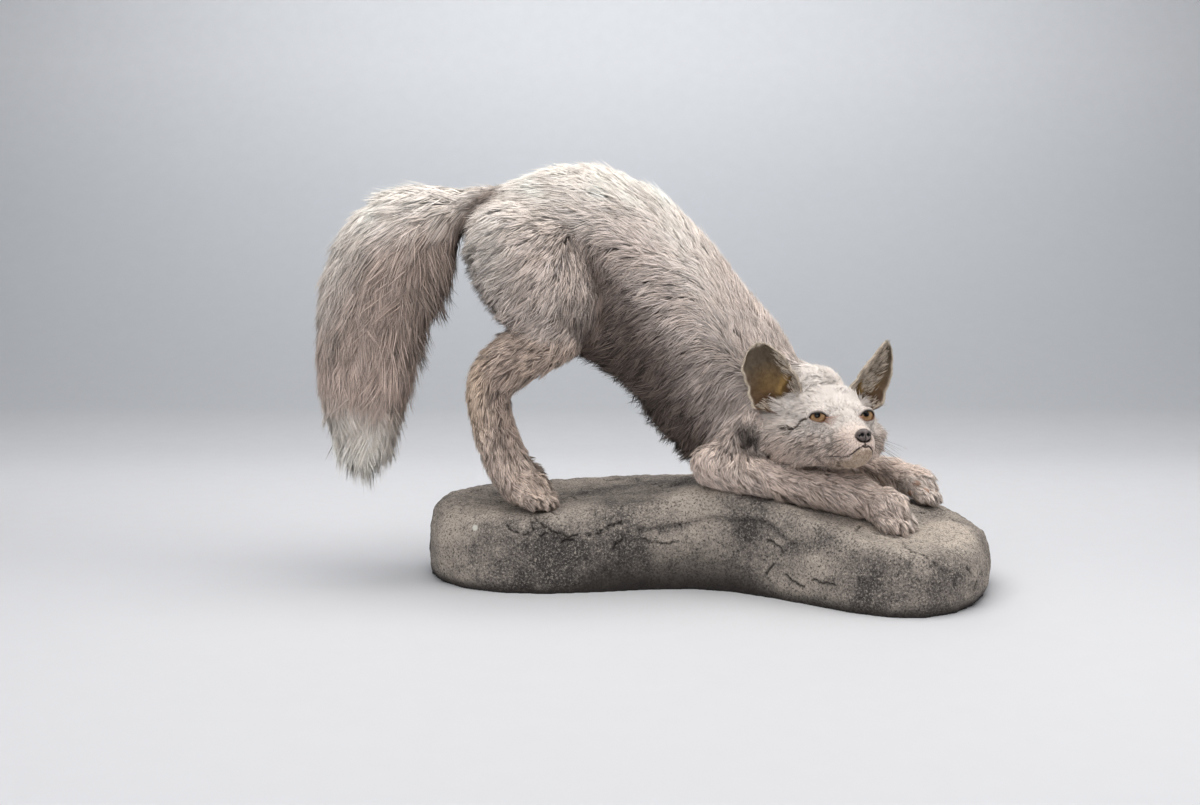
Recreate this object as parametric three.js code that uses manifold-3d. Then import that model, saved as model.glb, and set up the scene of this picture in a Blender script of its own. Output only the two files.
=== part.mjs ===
// Taxidermy fox: a pale fox stretching on a low artificial rock, rump high, forelegs flat, head
// turned to its right. Millimetres, +Z up. The body lies along +X and the fox's right side is -Y.
// The solids are the outside of the coat: each is a rounded form lofted along its own line.
import * as THREE from "three";
import { mergeVertices } from "three/addons/utils/BufferGeometryUtils.js";
import Module from "manifold-3d";

const wasm = await Module();
wasm.setup();

const GAP = 0.3; // clearance between neighbouring pieces
const SIDE_OFFSET = 42; // each hind leg from the body's middle plane
const FAR_STEP = -9; // the left hind leg stands a little further back
const HEAD_AT = new THREE.Vector3(254.5, -100, 198); // midway between the eyes
const HEAD_TURN = -79; // degrees about +Z from the body's line
const HEAD_LIFT = 10; // degrees, muzzle up
const EYE_RADIUS = 9;
const EYE_APART = 26; // each eye's centre from the head's middle plane
const EAR_THICK = 3.6;
const ROCK_CENTRE = [118, 20]; // middle of the rock's plan, x and y
const ROCK_SIDES = 32;
const EVEN = 0.5; // tension of every curve through stations
const WELD = 1e-3; // points closer than this are one

// ---------------------------------------------------------------- solids

function solidOf(geometry) {
  const bare = new THREE.BufferGeometry();
  bare.setAttribute("position", geometry.getAttribute("position"));
  bare.setIndex(geometry.index);
  const merged = mergeVertices(bare, WELD);
  const build = (triVerts) =>
    new wasm.Manifold(
      new wasm.Mesh({ numProp: 3, vertProperties: merged.attributes.position.array, triVerts }),
    );
  const faces = new Uint32Array(merged.index.array);
  const solid = build(faces);
  if (solid.volume() > 0) return solid;
  for (let i = 0; i < faces.length; i += 3) [faces[i], faces[i + 1]] = [faces[i + 1], faces[i]];
  return build(faces);
}

function geometryOf(solid) {
  const mesh = solid.getMesh();
  const points = new Float32Array(mesh.numVert * 3);
  for (let i = 0; i < mesh.numVert; i++)
    points.set(mesh.vertProperties.subarray(i * mesh.numProp, i * mesh.numProp + 3), i * 3);
  const geometry = new THREE.BufferGeometry();
  geometry.setAttribute("position", new THREE.BufferAttribute(points, 3));
  geometry.setIndex(new THREE.BufferAttribute(new Uint32Array(mesh.triVerts), 1));
  geometry.computeVertexNormals();
  return geometry;
}

const curveThrough = (points, closed) =>
  new THREE.CatmullRomCurve3(points, closed, "catmullrom", EVEN);
const join = (...solids) => solids.reduce((a, b) => a.add(b));
// Cuts the tools away and keeps the largest body that is left.
function cut(solid, ...tools) {
  const bodies = tools.reduce((a, b) => a.subtract(b), solid).decompose();
  return bodies.reduce((a, b) => (b.volume() > a.volume() ? b : a));
}

const [UP, DOWN, WIDE] = [3, 4, 5]; // columns of a station
const NEARLY_ONE = 1 - 1e-9;

// One column of the stations, run smoothly through the squares of its values, so that a form
// ends round where the value drops to nothing.
function column(stations, key, t) {
  const place = t * (stations.length - 1);
  const i = Math.min(Math.floor(place), stations.length - 2);
  const u = place - i;
  const at = (k) => stations[Math.max(0, Math.min(stations.length - 1, k))][key];
  const [p0, p1, p2, p3] = [at(i - 1), at(i), at(i + 1), at(i + 2)].map((r) => r * r);
  const cubic =
    p1 + 0.5 * u * (p2 - p0 + u * (2 * p0 - 5 * p1 + 4 * p2 - p3 + u * (3 * (p1 - p2) + p3 - p0)));
  return Math.sqrt(Math.max(0, cubic));
}

// A rounded form along a line. Each station is [x, y, z, up, down, wide]: its centre, then its
// half-depths above and below and its half-width. across points sideways from the line, and
// "above" is the line's own direction turned towards it by the right-hand rule. The first and
// last stations have no depth, which closes the form round.
function loft(stations, { sides = 12, rings = 8, across = [0, 1, 0], grow = 0, frame } = {}) {
  const line = curveThrough(stations.map(([x, y, z]) => new THREE.Vector3(x, y, z)), false);
  const form = new THREE.SphereGeometry(1, sides, rings);
  const points = form.getAttribute("position");
  for (let i = 0; i < points.count; i++) {
    const polar = Math.acos(THREE.MathUtils.clamp(points.getY(i), -1, 1)) / Math.PI;
    const t = (polar + (1 - Math.cos(polar * Math.PI)) / 2) / 2; // rings draw together at the ends
    const turn = Math.atan2(points.getZ(i), points.getX(i));
    const ahead = line.getTangent(t);
    const side = new THREE.Vector3(...across);
    side.addScaledVector(ahead, -side.dot(ahead)).normalize();
    const up = ahead.clone().cross(side);
    const height = Math.sin(turn) >= 0 ? UP : DOWN;
    const pole = Math.abs(points.getY(i)) > NEARLY_ONE;
    const rise = pole ? 0 : (column(stations, height, t) + grow) * Math.sin(turn);
    const reach = pole ? 0 : (column(stations, WIDE, t) + grow) * Math.cos(turn);
    const end = pole ? grow * Math.sign(t - 0.5) : 0;
    const place = line.getPoint(t);
    place.addScaledVector(up, rise).addScaledVector(side, reach).addScaledVector(ahead, end);
    if (frame) place.applyMatrix4(frame);
    points.setXYZ(i, place.x, place.y, place.z);
  }
  return solidOf(form);
}

// An ellipsoid; radii are along its own x, y and z.
function blob(centre, radii, { sides = 10, rings = 7, spin = 0, frame, grow = 0 } = {}) {
  const form = new THREE.SphereGeometry(1, sides, rings);
  form.scale(radii[0] + grow, radii[1] + grow, radii[2] + grow);
  form.rotateZ(THREE.MathUtils.degToRad(spin));
  form.translate(...centre);
  if (frame) form.applyMatrix4(frame);
  return solidOf(form);
}

// ---------------------------------------------------------------- rock

// Edge of the rock on the floor, counter-clockwise from its rear end: [x, y].
const ROCK_EDGE = [
  [-201, 72], [-191, 2], [-152, -52], [-84, -81], [0, -72], [85, -54], [150, -73],
  [212, -125], [265, -171], [320, -193], [374, -164], [414, -96], [439, -14], [424, 72],
  [378, 126], [300, 152], [200, 156], [100, 162], [0, 166], [-90, 160], [-165, 136],
];
// Heights of the rock's top where something rests or the top rises: [x, y, z].
const ROCK_TOP = [
  [-75, -42, 87], [-82, 45, 90], [-185, 50, 96], [-150, 120, 97], [-60, 130, 96], [60, 120, 103],
  [120, 40, 111], [130, -50, 112], [200, -72, 101], [255, -85, 89], [305, -98, 74], [322, -150, 69],
  [280, 20, 104], [365, 5, 91], [412, 0, 74], [380, 100, 78], [20, -40, 95],
];
// The rock's section from the middle of its top to its edge and back under it: [share of the
// way out, share of the top's height].
const ROCK_SECTION = [
  [0.3, 1], [0.56, 1], [0.74, 1], [0.86, 0.985], [0.935, 0.925], [0.978, 0.81],
  [1.0, 0.6], [1.006, 0.3], [1, 0.04], [0.985, 0], [0.5, 0],
];

const TOP_BLEND = 300; // mm2, how softly one height of the top runs into the next
const TOP_FALL = 1.6; // how fast the influence of a height falls away
const WAVE_DEPTH = 2.2; // shallow waves round the rock's side
const WAVE_TURNS = 44;
const WAVE_LEAN = 5;
const SIDE_FROM = 0.9; // share of the way out where the side begins
const FOOT_LEVEL = 0.03;

function rockHeight(x, y) {
  let sum = 0;
  let weights = 0;
  for (const [px, py, pz] of ROCK_TOP) {
    const weight = 1 / ((x - px) ** 2 + (y - py) ** 2 + TOP_BLEND) ** TOP_FALL;
    sum += weight * pz;
    weights += weight;
  }
  return sum / weights;
}

function makeRock(raise = 0) {
  const edge = curveThrough(ROCK_EDGE.map(([x, y]) => new THREE.Vector3(x, y, 0)), true);
  const form = new THREE.SphereGeometry(1, ROCK_SIDES, ROCK_SECTION.length + 1);
  const points = form.getAttribute("position");
  for (let i = 0; i < points.count; i++) {
    const ring = Math.floor(i / (ROCK_SIDES + 1));
    const around = (i % (ROCK_SIDES + 1) % ROCK_SIDES) / ROCK_SIDES;
    const pole = ring === 0 || ring > ROCK_SECTION.length;
    const [share, level] = pole ? [0, ring === 0 ? 1 : 0] : ROCK_SECTION[ring - 1];
    const rim = edge.getPoint(around);
    const x = ROCK_CENTRE[0] + share * (rim.x - ROCK_CENTRE[0]);
    const y = ROCK_CENTRE[1] + share * (rim.y - ROCK_CENTRE[1]);
    const onSide = level > FOOT_LEVEL && share > SIDE_FROM;
    const wave = onSide ? WAVE_DEPTH * Math.sin(around * WAVE_TURNS + level * WAVE_LEAN) : 0;
    points.setXYZ(i, x, y + wave, level === 0 ? 0 : level * rockHeight(x, y) + raise);
  }
  return solidOf(form);
}

// ---------------------------------------------------------------- body and legs

const TRUNK = [
  [-150, 0, 410, 0, 0, 0],
  [-132, 0, 407, 36, 36, 36],
  [-92, 0, 395, 70, 62, 51],
  [-40, 0, 380, 99, 85, 58],
  [15, 0, 357, 101, 106, 60],
  [65, 0, 318, 91, 99, 61],
  [108, 0, 268, 86, 87, 58],
  [150, 0, 214, 89, 91, 50],
  [184, -3, 174, 72, 70, 43],
  [206, -6, 148, 0, 0, 0],
];
const NECK = [
  [126, 4, 222, 0, 0, 0],
  [152, 2, 215, 44, 52, 66],
  [190, -4, 206, 38, 54, 58],
  [222, -20, 200, 34, 54, 51],
  [244, -44, 197, 36, 48, 44],
  [254, -72, 192, 0, 0, 0],
];
const TAIL = [
  [-98, 0, 437, 0, 0, 0],
  [-118, 0, 434, 12, 12, 12],
  [-148, 0, 424, 23, 20, 18],
  [-181, 0, 411, 47, 44, 36],
  [-217, 0, 380, 73, 69, 50],
  [-247, 0, 328, 71, 68, 55],
  [-263, 0, 268, 60, 61, 54],
  [-268, 0, 211, 54, 57, 49],
  [-269, 0, 166, 48, 49, 40],
  [-270, 0, 133, 29, 30, 25],
  [-271, 0, 108, 0, 0, 0],
];
const TAIL_SPLIT_Z = 232; // the brush is divided into two lengths here
const THIGH = [
  [-132, 0, 416, 0, 0, 0],
  [-116, 0, 400, 38, 40, 27],
  [-82, -1, 361, 64, 59, 34],
  [-54, -1, 325, 56, 59, 32],
  [-36, 0, 293, 34, 38, 25],
  [-27, 0, 268, 0, 0, 0],
];
const SHANK = [
  [-16, 0, 290, 0, 0, 0],
  [-36, 0, 284, 28, 30, 22],
  [-75, 0, 262, 32, 30, 20],
  [-107, 0, 240, 30, 27, 18],
  [-127, 0, 219, 24, 24, 17],
  [-136, 0, 202, 0, 0, 0],
];
const METATARSUS = [
  [-125, 0, 236, 0, 0, 0],
  [-123, 0, 222, 24, 24, 17],
  [-120, 0, 190, 25, 25, 17],
  [-109, 0, 152, 26, 25, 18],
  [-96, 0, 122, 27, 24, 20],
  [-89, 0, 98, 0, 0, 0],
];
const HIND_FOOT_AT = [-84, 0, 111];
const HIND_FOOT = { dip: 11, long: 29, wide: 20, deep: 22, toe: 8.6 };
const HIND_HEADING = { right: -8, left: 4 };
const UPPER_ARM = [
  [208, 0, 194, 0, 0, 0],
  [196, 0, 182, 20, 28, 18],
  [165, -3, 162, 31, 34, 23],
  [142, -6, 146, 28, 27, 22],
  [126, -8, 134, 0, 0, 0],
];
const UPPER_ARM_SIDE = 41; // the upper arm's line from the middle plane
const RIGHT_FOREARM = [
  [96, -46, 142, 0, 0, 0],
  [118, -50, 139, 26, 26, 22],
  [160, -58, 130, 23, 23, 19],
  [205, -68, 120, 21, 22, 18],
  [248, -80, 113, 23, 22, 19],
  [282, -91, 107, 25, 23, 21],
  [302, -98, 101, 0, 0, 0],
];
const LEFT_FOREARM = [
  [136, 54, 140, 0, 0, 0],
  [158, 52, 138, 23, 26, 22],
  [205, 43, 132, 20, 22, 18],
  [262, 30, 128, 18, 19, 16],
  [315, 17, 124, 18, 19, 16],
  [342, 11, 118, 19, 19, 16],
  [358, 8, 113, 0, 0, 0],
];

const RIGHT_FOREPAW_AT = [304, -100, 99];
const RIGHT_FOREPAW = { heading: -24, dip: 22, long: 27, wide: 23, deep: 23, toe: 9.4 };
const LEFT_FOREPAW_AT = [358, 6, 111];
const LEFT_FOREPAW = { heading: -6, dip: 22, long: 26, wide: 20, deep: 20, toe: 8.8 };

const shifted = (stations, dx, dy, mirror = 1) =>
  stations.map(([x, y, z, up, down, wide]) => [x + dx, mirror * (y + dy), z, up, down, wide]);

const TOES = 4;
const TOE_FAN = 7; // degrees from one toe to the next
const TOE_PITCH = 0.52; // share of the paw's half-width from one toe to the next
const TOE_DROP = 0.36; // share of the paw's half-depth that the toes sit lower
const TOE_SHAPE = [1.55, 0.92, 1.2];
const TOE_BACK = 2; // a toe's centre behind the pad's front
const OUTER_BACK = 3; // how far the outer toes sit behind the middle ones

// A paw: a rounded pad with toes fanned along its heading, in degrees about +Z, dipping as the
// rock under it falls away. long, wide and deep are half-sizes of the pad.
function makePaw([x, y, z], { heading, dip, long, wide, deep, toe }) {
  const frame = new THREE.Matrix4()
    .makeTranslation(x, y, z)
    .multiply(new THREE.Matrix4().makeRotationZ(THREE.MathUtils.degToRad(heading)))
    .multiply(new THREE.Matrix4().makeRotationY(THREE.MathUtils.degToRad(dip)));
  const toes = Array.from({ length: TOES }, (_, i) => {
    const out = i - (TOES - 1) / 2;
    const reach = long - TOE_BACK - OUTER_BACK * Math.abs(out);
    const centre = [reach, out * wide * TOE_PITCH, -deep * TOE_DROP];
    const radii = TOE_SHAPE.map((share) => share * toe);
    return blob(centre, radii, { spin: out * TOE_FAN, frame, sides: 6, rings: 4 });
  });
  return join(blob([0, 0, 0], [long, wide, deep], { frame, sides: 9, rings: 6 }), ...toes);
}

// ---------------------------------------------------------------- head, in its own frame
// Origin midway between the eyes, +x along the muzzle, +y to the fox's left, +z to the crown.

const HEAD_FRAME = new THREE.Matrix4()
  .makeTranslation(HEAD_AT.x, HEAD_AT.y, HEAD_AT.z)
  .multiply(new THREE.Matrix4().makeRotationZ(THREE.MathUtils.degToRad(HEAD_TURN)))
  .multiply(new THREE.Matrix4().makeRotationY(THREE.MathUtils.degToRad(-HEAD_LIFT)));

const SKULL = [
  [-84, 0, -8, 0, 0, 0],
  [-76, 0, -8, 32, 34, 38],
  [-56, 0, -9, 46, 40, 48],
  [-32, 0, -12, 45, 43, 49],
  [-12, 0, -16, 38, 40, 44],
  [4, 0, -20, 32, 39, 35.5],
  [20, 0, -26, 26, 34, 26],
  [38, 0, -31, 20, 28, 20],
  [54, 0, -34, 16, 22, 16],
  [64, 0, -34, 13, 16, 11.5],
  [69, 0, -33, 0, 0, 0],
];
const CHEEK = [
  [34, -9, -36, 0, 0, 0],
  [18, -14, -36, 15, 19, 12],
  [-4, -21, -31, 24, 24, 21],
  [-28, -30, -24, 30, 27, 29],
  [-50, -40, -19, 31, 25, 32],
  [-68, -50, -20, 24, 22, 25],
  [-82, -60, -24, 0, 0, 0],
];
const EAR_ROOT = [
  [-54, -20, 8, 0, 0, 0],
  [-58, -34, 12, 15, 16, 16],
  [-61, -50, 10, 14, 16, 17],
  [-62, -63, 6, 0, 0, 0],
];
const NOSE_AT = [66, 0, -25];
const NOSE_RADII = [6, 8.5, 6.5];
const EYE_AT = [4.5, EYE_APART, -2.5];
const ORBIT_AT = [12, 30, -2.5]; // the opening between the lids
const ORBIT_RADII = [9, 8, 5.6];
const ORBIT_SPIN = 35; // degrees, each opening turned out from the muzzle
const EAR_BASE = new THREE.Vector3(-60, -47, 19);
const EAR_TIP = new THREE.Vector3(-41, -74, 83);
const EAR_ACROSS = new THREE.Vector3(-0.3, -1, -0.5); // from the ear's inner edge to its outer edge
const EAR_OUTER = 29; // half-widths from the base's middle to each edge
const EAR_INNER = 27;
const EAR_CUP = 15;
const EAR_LEAN = 1; // how far the tip leans back from the base's plane
const EAR_SINK = 0.2; // share of the ear's length that runs into the head
const EAR_OUTER_EDGE = [3.2, 0.6]; // how full each edge stays towards the tip
const EAR_INNER_EDGE = [1.9, 0.7];
const EAR_TIP_HALF = 2; // half-width left at the very tip
const EAR_FLATTEN = 0.75; // share of the cup lost by the tip
const EAR_MIDLINE = 0.35; // where the cup crosses the ear's own plane
const EAR_THIN = 0.35; // share of the thickness lost by the tip

const mirrored = (stations) => stations.map(([x, y, ...rest]) => [x, -y, ...rest]);

// The ear: a cupped leaf of nearly even thickness. side is -1 for the fox's right ear.
function makeEar(side) {
  const flip = ({ x, y, z }) => new THREE.Vector3(x, -side * y, z);
  const root = flip(EAR_BASE);
  const axis = flip(EAR_TIP).sub(root);
  const length = axis.length();
  axis.normalize();
  const across = flip(EAR_ACROSS);
  across.addScaledVector(axis, -across.dot(axis)).normalize();
  const facing = across.clone().cross(axis);
  if (facing.x < 0) facing.negate();
  const form = new THREE.BoxGeometry(2, 1, 2, 6, 7, 1);
  const points = form.getAttribute("position");
  for (let i = 0; i < points.count; i++) {
    const b = points.getX(i);
    const a = (points.getY(i) + 0.5) * (1 + EAR_SINK) - EAR_SINK;
    const t = Math.max(0, a);
    const [fullness, power] = b > 0 ? EAR_OUTER_EDGE : EAR_INNER_EDGE;
    const halfWidth = (b > 0 ? EAR_OUTER : EAR_INNER) * (1 - t ** fullness) ** power;
    const reach = b * Math.max(EAR_TIP_HALF, halfWidth) * (1 + Math.min(0, a));
    const cup = EAR_CUP * (1 - EAR_FLATTEN * t) * (b * b - EAR_MIDLINE) - EAR_LEAN * t * t;
    const half = (EAR_THICK / 2) * (1 - EAR_THIN * t);
    const place = root.clone().addScaledVector(axis, a * length).addScaledVector(across, reach);
    place.addScaledVector(facing, cup + points.getZ(i) * half).applyMatrix4(HEAD_FRAME);
    points.setXYZ(i, place.x, place.y, place.z);
  }
  return solidOf(form);
}

// ---------------------------------------------------------------- whole fox, parted

const rock = makeRock();
const rockTool = makeRock(GAP);
const inHead = { frame: HEAD_FRAME };
const backward = { across: [0, -1, 0] }; // for lines that run towards the tail
const skullOptions = { ...inHead, sides: 14, rings: 12 };
const cheekOptions = { ...inHead, sides: 9, rings: 7 };
const earRootOptions = { ...inHead, sides: 8, rings: 5, across: [1, 0, 0] };

const toSide = ([x, y, z], side) => [x, side * y, z];
const ball = [EYE_RADIUS, EYE_RADIUS, EYE_RADIUS];
const eyeOptions = { ...inHead, sides: 9, rings: 6 };
const makeEye = (side, grow = 0) => blob(toSide(EYE_AT, side), ball, { ...eyeOptions, grow });
const orbitOptions = { ...inHead, sides: 8, rings: 6 };
const makeOrbit = (side) =>
  blob(toSide(ORBIT_AT, side), ORBIT_RADII, { ...orbitOptions, spin: side * ORBIT_SPIN });
const makeHead = (grow = 0) =>
  join(
    loft(SKULL, { ...skullOptions, grow }),
    loft(CHEEK, { ...cheekOptions, grow }),
    loft(mirrored(CHEEK), { ...cheekOptions, grow }),
    loft(EAR_ROOT, { ...earRootOptions, grow }),
    loft(mirrored(EAR_ROOT), { ...earRootOptions, grow }),
  );
const noseOptions = { ...inHead, sides: 10, rings: 6 };
const nose = blob(NOSE_AT, NOSE_RADII, noseOptions);
const noseTool = blob(NOSE_AT, NOSE_RADII, { ...noseOptions, grow: GAP });
const headTool = makeHead(GAP);
const openings = [noseTool, makeEye(-1, GAP), makeEye(1, GAP), makeOrbit(-1), makeOrbit(1)];
const head = cut(makeHead(), ...openings);

const neckOptions = { across: [0, 0, 1], sides: 12, rings: 7 };
const neckWhole = loft(NECK, neckOptions);
const neckTool = loft(NECK, { ...neckOptions, grow: GAP });

const trunkOptions = { sides: 18, rings: 13 };
const trunkTool = loft(TRUNK, { ...trunkOptions, grow: GAP });

const nodes = [];
const add = (name, solid, finish) => nodes.push({ name, solid, finish });

add("base_rock", rock, "rock");
add("head", head, "face_fur");
add("nose", nose, "nose_leather");
add("eye_right", makeEye(-1), "eye_glass");
add("eye_left", makeEye(1), "eye_glass");
const ears = { right: makeEar(-1), left: makeEar(1) };

const limbs = []; // what the trunk, neck and tail are carved by
for (const [side, sign] of [["right", -1], ["left", 1]]) {
  const dx = sign > 0 ? FAR_STEP : 0;
  const hind = (stations, grow = 0, options = {}) =>
    loft(shifted(stations, dx, sign * SIDE_OFFSET), { grow, ...options });
  const thighOptions = { sides: 14, rings: 8 };
  const thigh = hind(THIGH, 0, thighOptions);
  const thighTool = hind(THIGH, GAP, thighOptions);
  const shankTool = hind(SHANK, GAP, backward);
  const metatarsusTool = hind(METATARSUS, GAP);
  const [footX, footY, footZ] = HIND_FOOT_AT;
  const hindFoot = makePaw([footX + dx, footY + sign * SIDE_OFFSET, footZ], {
    ...HIND_FOOT,
    heading: HIND_HEADING[side],
  });
  const arm = shifted(UPPER_ARM, 0, -UPPER_ARM_SIDE, -sign);
  const forearm = sign < 0 ? RIGHT_FOREARM : LEFT_FOREARM;
  const forepaw =
    sign < 0 ? makePaw(RIGHT_FOREPAW_AT, RIGHT_FOREPAW) : makePaw(LEFT_FOREPAW_AT, LEFT_FOREPAW);
  const armWhole = loft(arm);
  const armTool = loft(arm, { grow: GAP });
  const forearmTool = loft(forearm, { grow: GAP, rings: 9 });
  add(`ear_${side}`, cut(ears[side], headTool, neckTool, armTool, trunkTool), "ear_fur");
  add(`thigh_${side}`, thigh, "coat_fur");
  add(`shank_${side}`, cut(hind(SHANK, 0, backward), thighTool, trunkTool), "leg_fur");
  add(`metatarsus_${side}`, cut(hind(METATARSUS), shankTool, rockTool), "leg_fur");
  add(`hindfoot_${side}`, cut(hindFoot, metatarsusTool, rockTool), "leg_fur");
  add(`upper_arm_${side}`, cut(armWhole, headTool, neckTool, rockTool), "coat_fur");
  add(`forearm_${side}`, cut(loft(forearm, { rings: 9 }), armTool, headTool, rockTool), "leg_fur");
  add(`forepaw_${side}`, cut(forepaw, forearmTool, rockTool), "leg_fur");
  limbs.push(thighTool, armTool, forearmTool);
}

const neck = cut(neckWhole, trunkTool, headTool, ...limbs, rockTool);
add("trunk", cut(loft(TRUNK, trunkOptions), ...limbs, headTool, rockTool), "coat_fur");
add("neck", neck, "coat_fur");
const tail = cut(loft(TAIL, { ...backward, sides: 14, rings: 16 }), trunkTool, ...limbs);
const SPACE = 400; // a block that holds all of the tail on one side of its split
const below = (z) => {
  const half = new THREE.BoxGeometry(SPACE, SPACE, SPACE);
  half.translate(-SPACE / 2, 0, z - SPACE / 2);
  return solidOf(half);
};
add("tail_root", cut(tail, below(TAIL_SPLIT_Z + GAP)), "tail_fur");
add("tail_end", tail.intersect(below(TAIL_SPLIT_Z)), "tail_fur");

// ---------------------------------------------------------------- scene graph

const FINISHES = {
  rock: { color: 0x6f675c, roughness: 0.9 },
  coat_fur: { color: 0xbdb0a4, roughness: 0.85 },
  face_fur: { color: 0xe2dcd6, roughness: 0.85 },
  ear_fur: { color: 0x8a7455, roughness: 0.8 },
  leg_fur: { color: 0xb7a593, roughness: 0.85 },
  tail_fur: { color: 0xaa9b8e, roughness: 0.85 },
  nose_leather: { color: 0x1f1b1c, roughness: 0.45 },
  eye_glass: { color: 0x8a5a22, roughness: 0.08 },
};
const materials = Object.fromEntries(
  Object.entries(FINISHES).map(([name, values]) => [
    name,
    new THREE.MeshStandardMaterial({ name, metalness: 0, ...values }),
  ]),
);

const fox = new THREE.Group();
for (const { name, solid, finish } of nodes) {
  const mesh = new THREE.Mesh(geometryOf(solid), materials[finish]);
  mesh.name = name;
  fox.add(mesh);
}

// The origin is the middle of the whole mount's bottom.
const reach = new THREE.Box3().setFromObject(fox);
const middle = reach.getCenter(new THREE.Vector3());
fox.position.set(-middle.x, -middle.y, -reach.min.z);

export default fox;
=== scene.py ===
"""A mounted pale fox stretching on a low cast rock: skin, coat, ears, eyes, nose, feet and rock.
Lengths in the tables are millimetres from the workshop drawing, and `place` brings them into the part."""

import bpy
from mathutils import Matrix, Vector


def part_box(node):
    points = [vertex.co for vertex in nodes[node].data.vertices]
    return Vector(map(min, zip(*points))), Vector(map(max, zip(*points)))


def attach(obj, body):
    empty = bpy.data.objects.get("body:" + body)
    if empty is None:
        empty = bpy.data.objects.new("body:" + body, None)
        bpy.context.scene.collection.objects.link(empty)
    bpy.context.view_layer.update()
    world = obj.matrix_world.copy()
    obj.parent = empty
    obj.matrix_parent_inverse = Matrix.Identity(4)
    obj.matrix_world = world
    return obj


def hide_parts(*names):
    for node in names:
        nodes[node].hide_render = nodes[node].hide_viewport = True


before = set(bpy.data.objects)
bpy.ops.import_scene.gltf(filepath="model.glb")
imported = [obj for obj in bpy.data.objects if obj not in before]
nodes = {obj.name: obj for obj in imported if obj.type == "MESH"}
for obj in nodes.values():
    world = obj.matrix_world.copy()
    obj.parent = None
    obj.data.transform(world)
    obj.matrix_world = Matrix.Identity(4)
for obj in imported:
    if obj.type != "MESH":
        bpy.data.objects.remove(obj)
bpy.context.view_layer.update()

import copy
import math

import bmesh
import bpy
import numpy as np
from mathutils import Matrix, Vector, noise
from mathutils.bvhtree import BVHTree
from mathutils.kdtree import KDTree

MM = 0.001
SEED = 41
SIDES = ((-1, "right"), (1, "left"))  # of the fox, along the head's own y
WELD = 0.00002  # corners nearer than this, in metres, are one

# ------------------------------------------------------------------ the drawing and the head's axes

HEAD_AT = np.array((254.5, -100.0, 198.0))  # midway between the eyes
HEAD_TURN = math.radians(-79)
HEAD_LIFT = math.radians(10)
EYE_AT = np.array((4.5, 26.0, -2.5))
HEAD_AXES = np.array(Matrix.Rotation(HEAD_TURN, 3, "Z") @ Matrix.Rotation(-HEAD_LIFT, 3, "Y"))


def middle(name):
    low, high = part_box(name)
    return (np.array(low) + np.array(high)) / 2 / MM


# How far the part's own origin lies from the drawing's.
SHIFT = (middle("eye_right") + middle("eye_left")) / 2 - (HEAD_AT + HEAD_AXES @ (EYE_AT * (1, 0, 1)))


def place(points):
    """Drawing, in millimetres, to the part, in metres."""
    return (np.asarray(points, float) + SHIFT) * MM


def drawn(points):
    """Part, in metres, to the drawing, in millimetres."""
    return np.asarray(points, float) / MM - SHIFT


def from_head(points):
    return np.asarray(points, float) @ HEAD_AXES.T + HEAD_AT


def to_head(points):
    return (np.asarray(points, float) - HEAD_AT) @ HEAD_AXES


HEAD_TURNED = Matrix(HEAD_AXES.tolist()).to_4x4()


def unit(v):
    return v / np.maximum(np.linalg.norm(v, axis=-1, keepdims=True), 1e-9)


def smoothstep(low, high, x):
    """0 up to low and 1 from high, with a soft rise between them."""
    t = np.clip((np.asarray(x, float) - low) / (np.asarray(high, float) - low), 0, 1)
    return t * t * (3 - 2 * t)


def bell(x):
    """1 at 0, and falling away to 0 on both sides."""
    return np.exp(-(x**2))


def how_far(points, at, reach=1.0):
    """Distance of each point from a place, counted in the reach along each axis."""
    return np.linalg.norm((points - at) / reach, axis=1)


# ------------------------------------------------------------------ camera, lights, floor

camera = bpy.data.objects.new("camera", bpy.data.cameras.new("camera"))
bpy.context.scene.collection.objects.link(camera)
bpy.context.scene.camera = camera
camera.data.sensor_width = 36
camera.data.lens = 42.9
camera.location = place((0, -1610, 350))
camera_dip = math.atan(131 / 1430)
camera.rotation_euler = (math.radians(90) - camera_dip, 0, 0)


def deselect():
    if bpy.context.mode != "OBJECT":
        bpy.ops.object.mode_set(mode="OBJECT")
    bpy.ops.object.select_all(action="DESELECT")


def pick(*objects):
    deselect()
    for o in objects:
        o.select_set(True)
    bpy.context.view_layer.objects.active = objects[0]


def area_light(name, at, aim, size, power, colour=(1, 1, 1), spread=180):
    light = bpy.data.objects.new(name, bpy.data.lights.new(name, "AREA"))
    light.data.shape = "RECTANGLE"
    light.data.size, light.data.size_y = size
    light.data.energy = power
    light.data.color = colour
    light.data.spread = math.radians(spread)
    light.location = place(at)
    ahead = Vector(place(aim)) - Vector(place(at))
    light.rotation_euler = ahead.to_track_quat("-Z", "Y").to_euler()
    bpy.context.scene.collection.objects.link(light)


area_light("light_top", (60, -150, 1500), (60, 0, 200), (1.8, 1.3), 29, (1.0, 0.985, 0.96))
area_light("light_front", (-700, -1700, 1150), (60, 0, 200), (1.3, 0.9), 17, (0.97, 0.985, 1.0))
area_light("light_side", (1500, -500, 900), (80, 0, 200), (0.9, 1.2), 9, (1.0, 0.99, 0.98))
area_light("light_wall", (0, 1100, 2500), (0, 2700, 1250), (2.6, 0.4), 6.5, (0.97, 0.985, 1.0), 80)
bpy.context.scene.view_settings.view_transform = "Standard"


# ------------------------------------------------------------------ finishes


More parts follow.
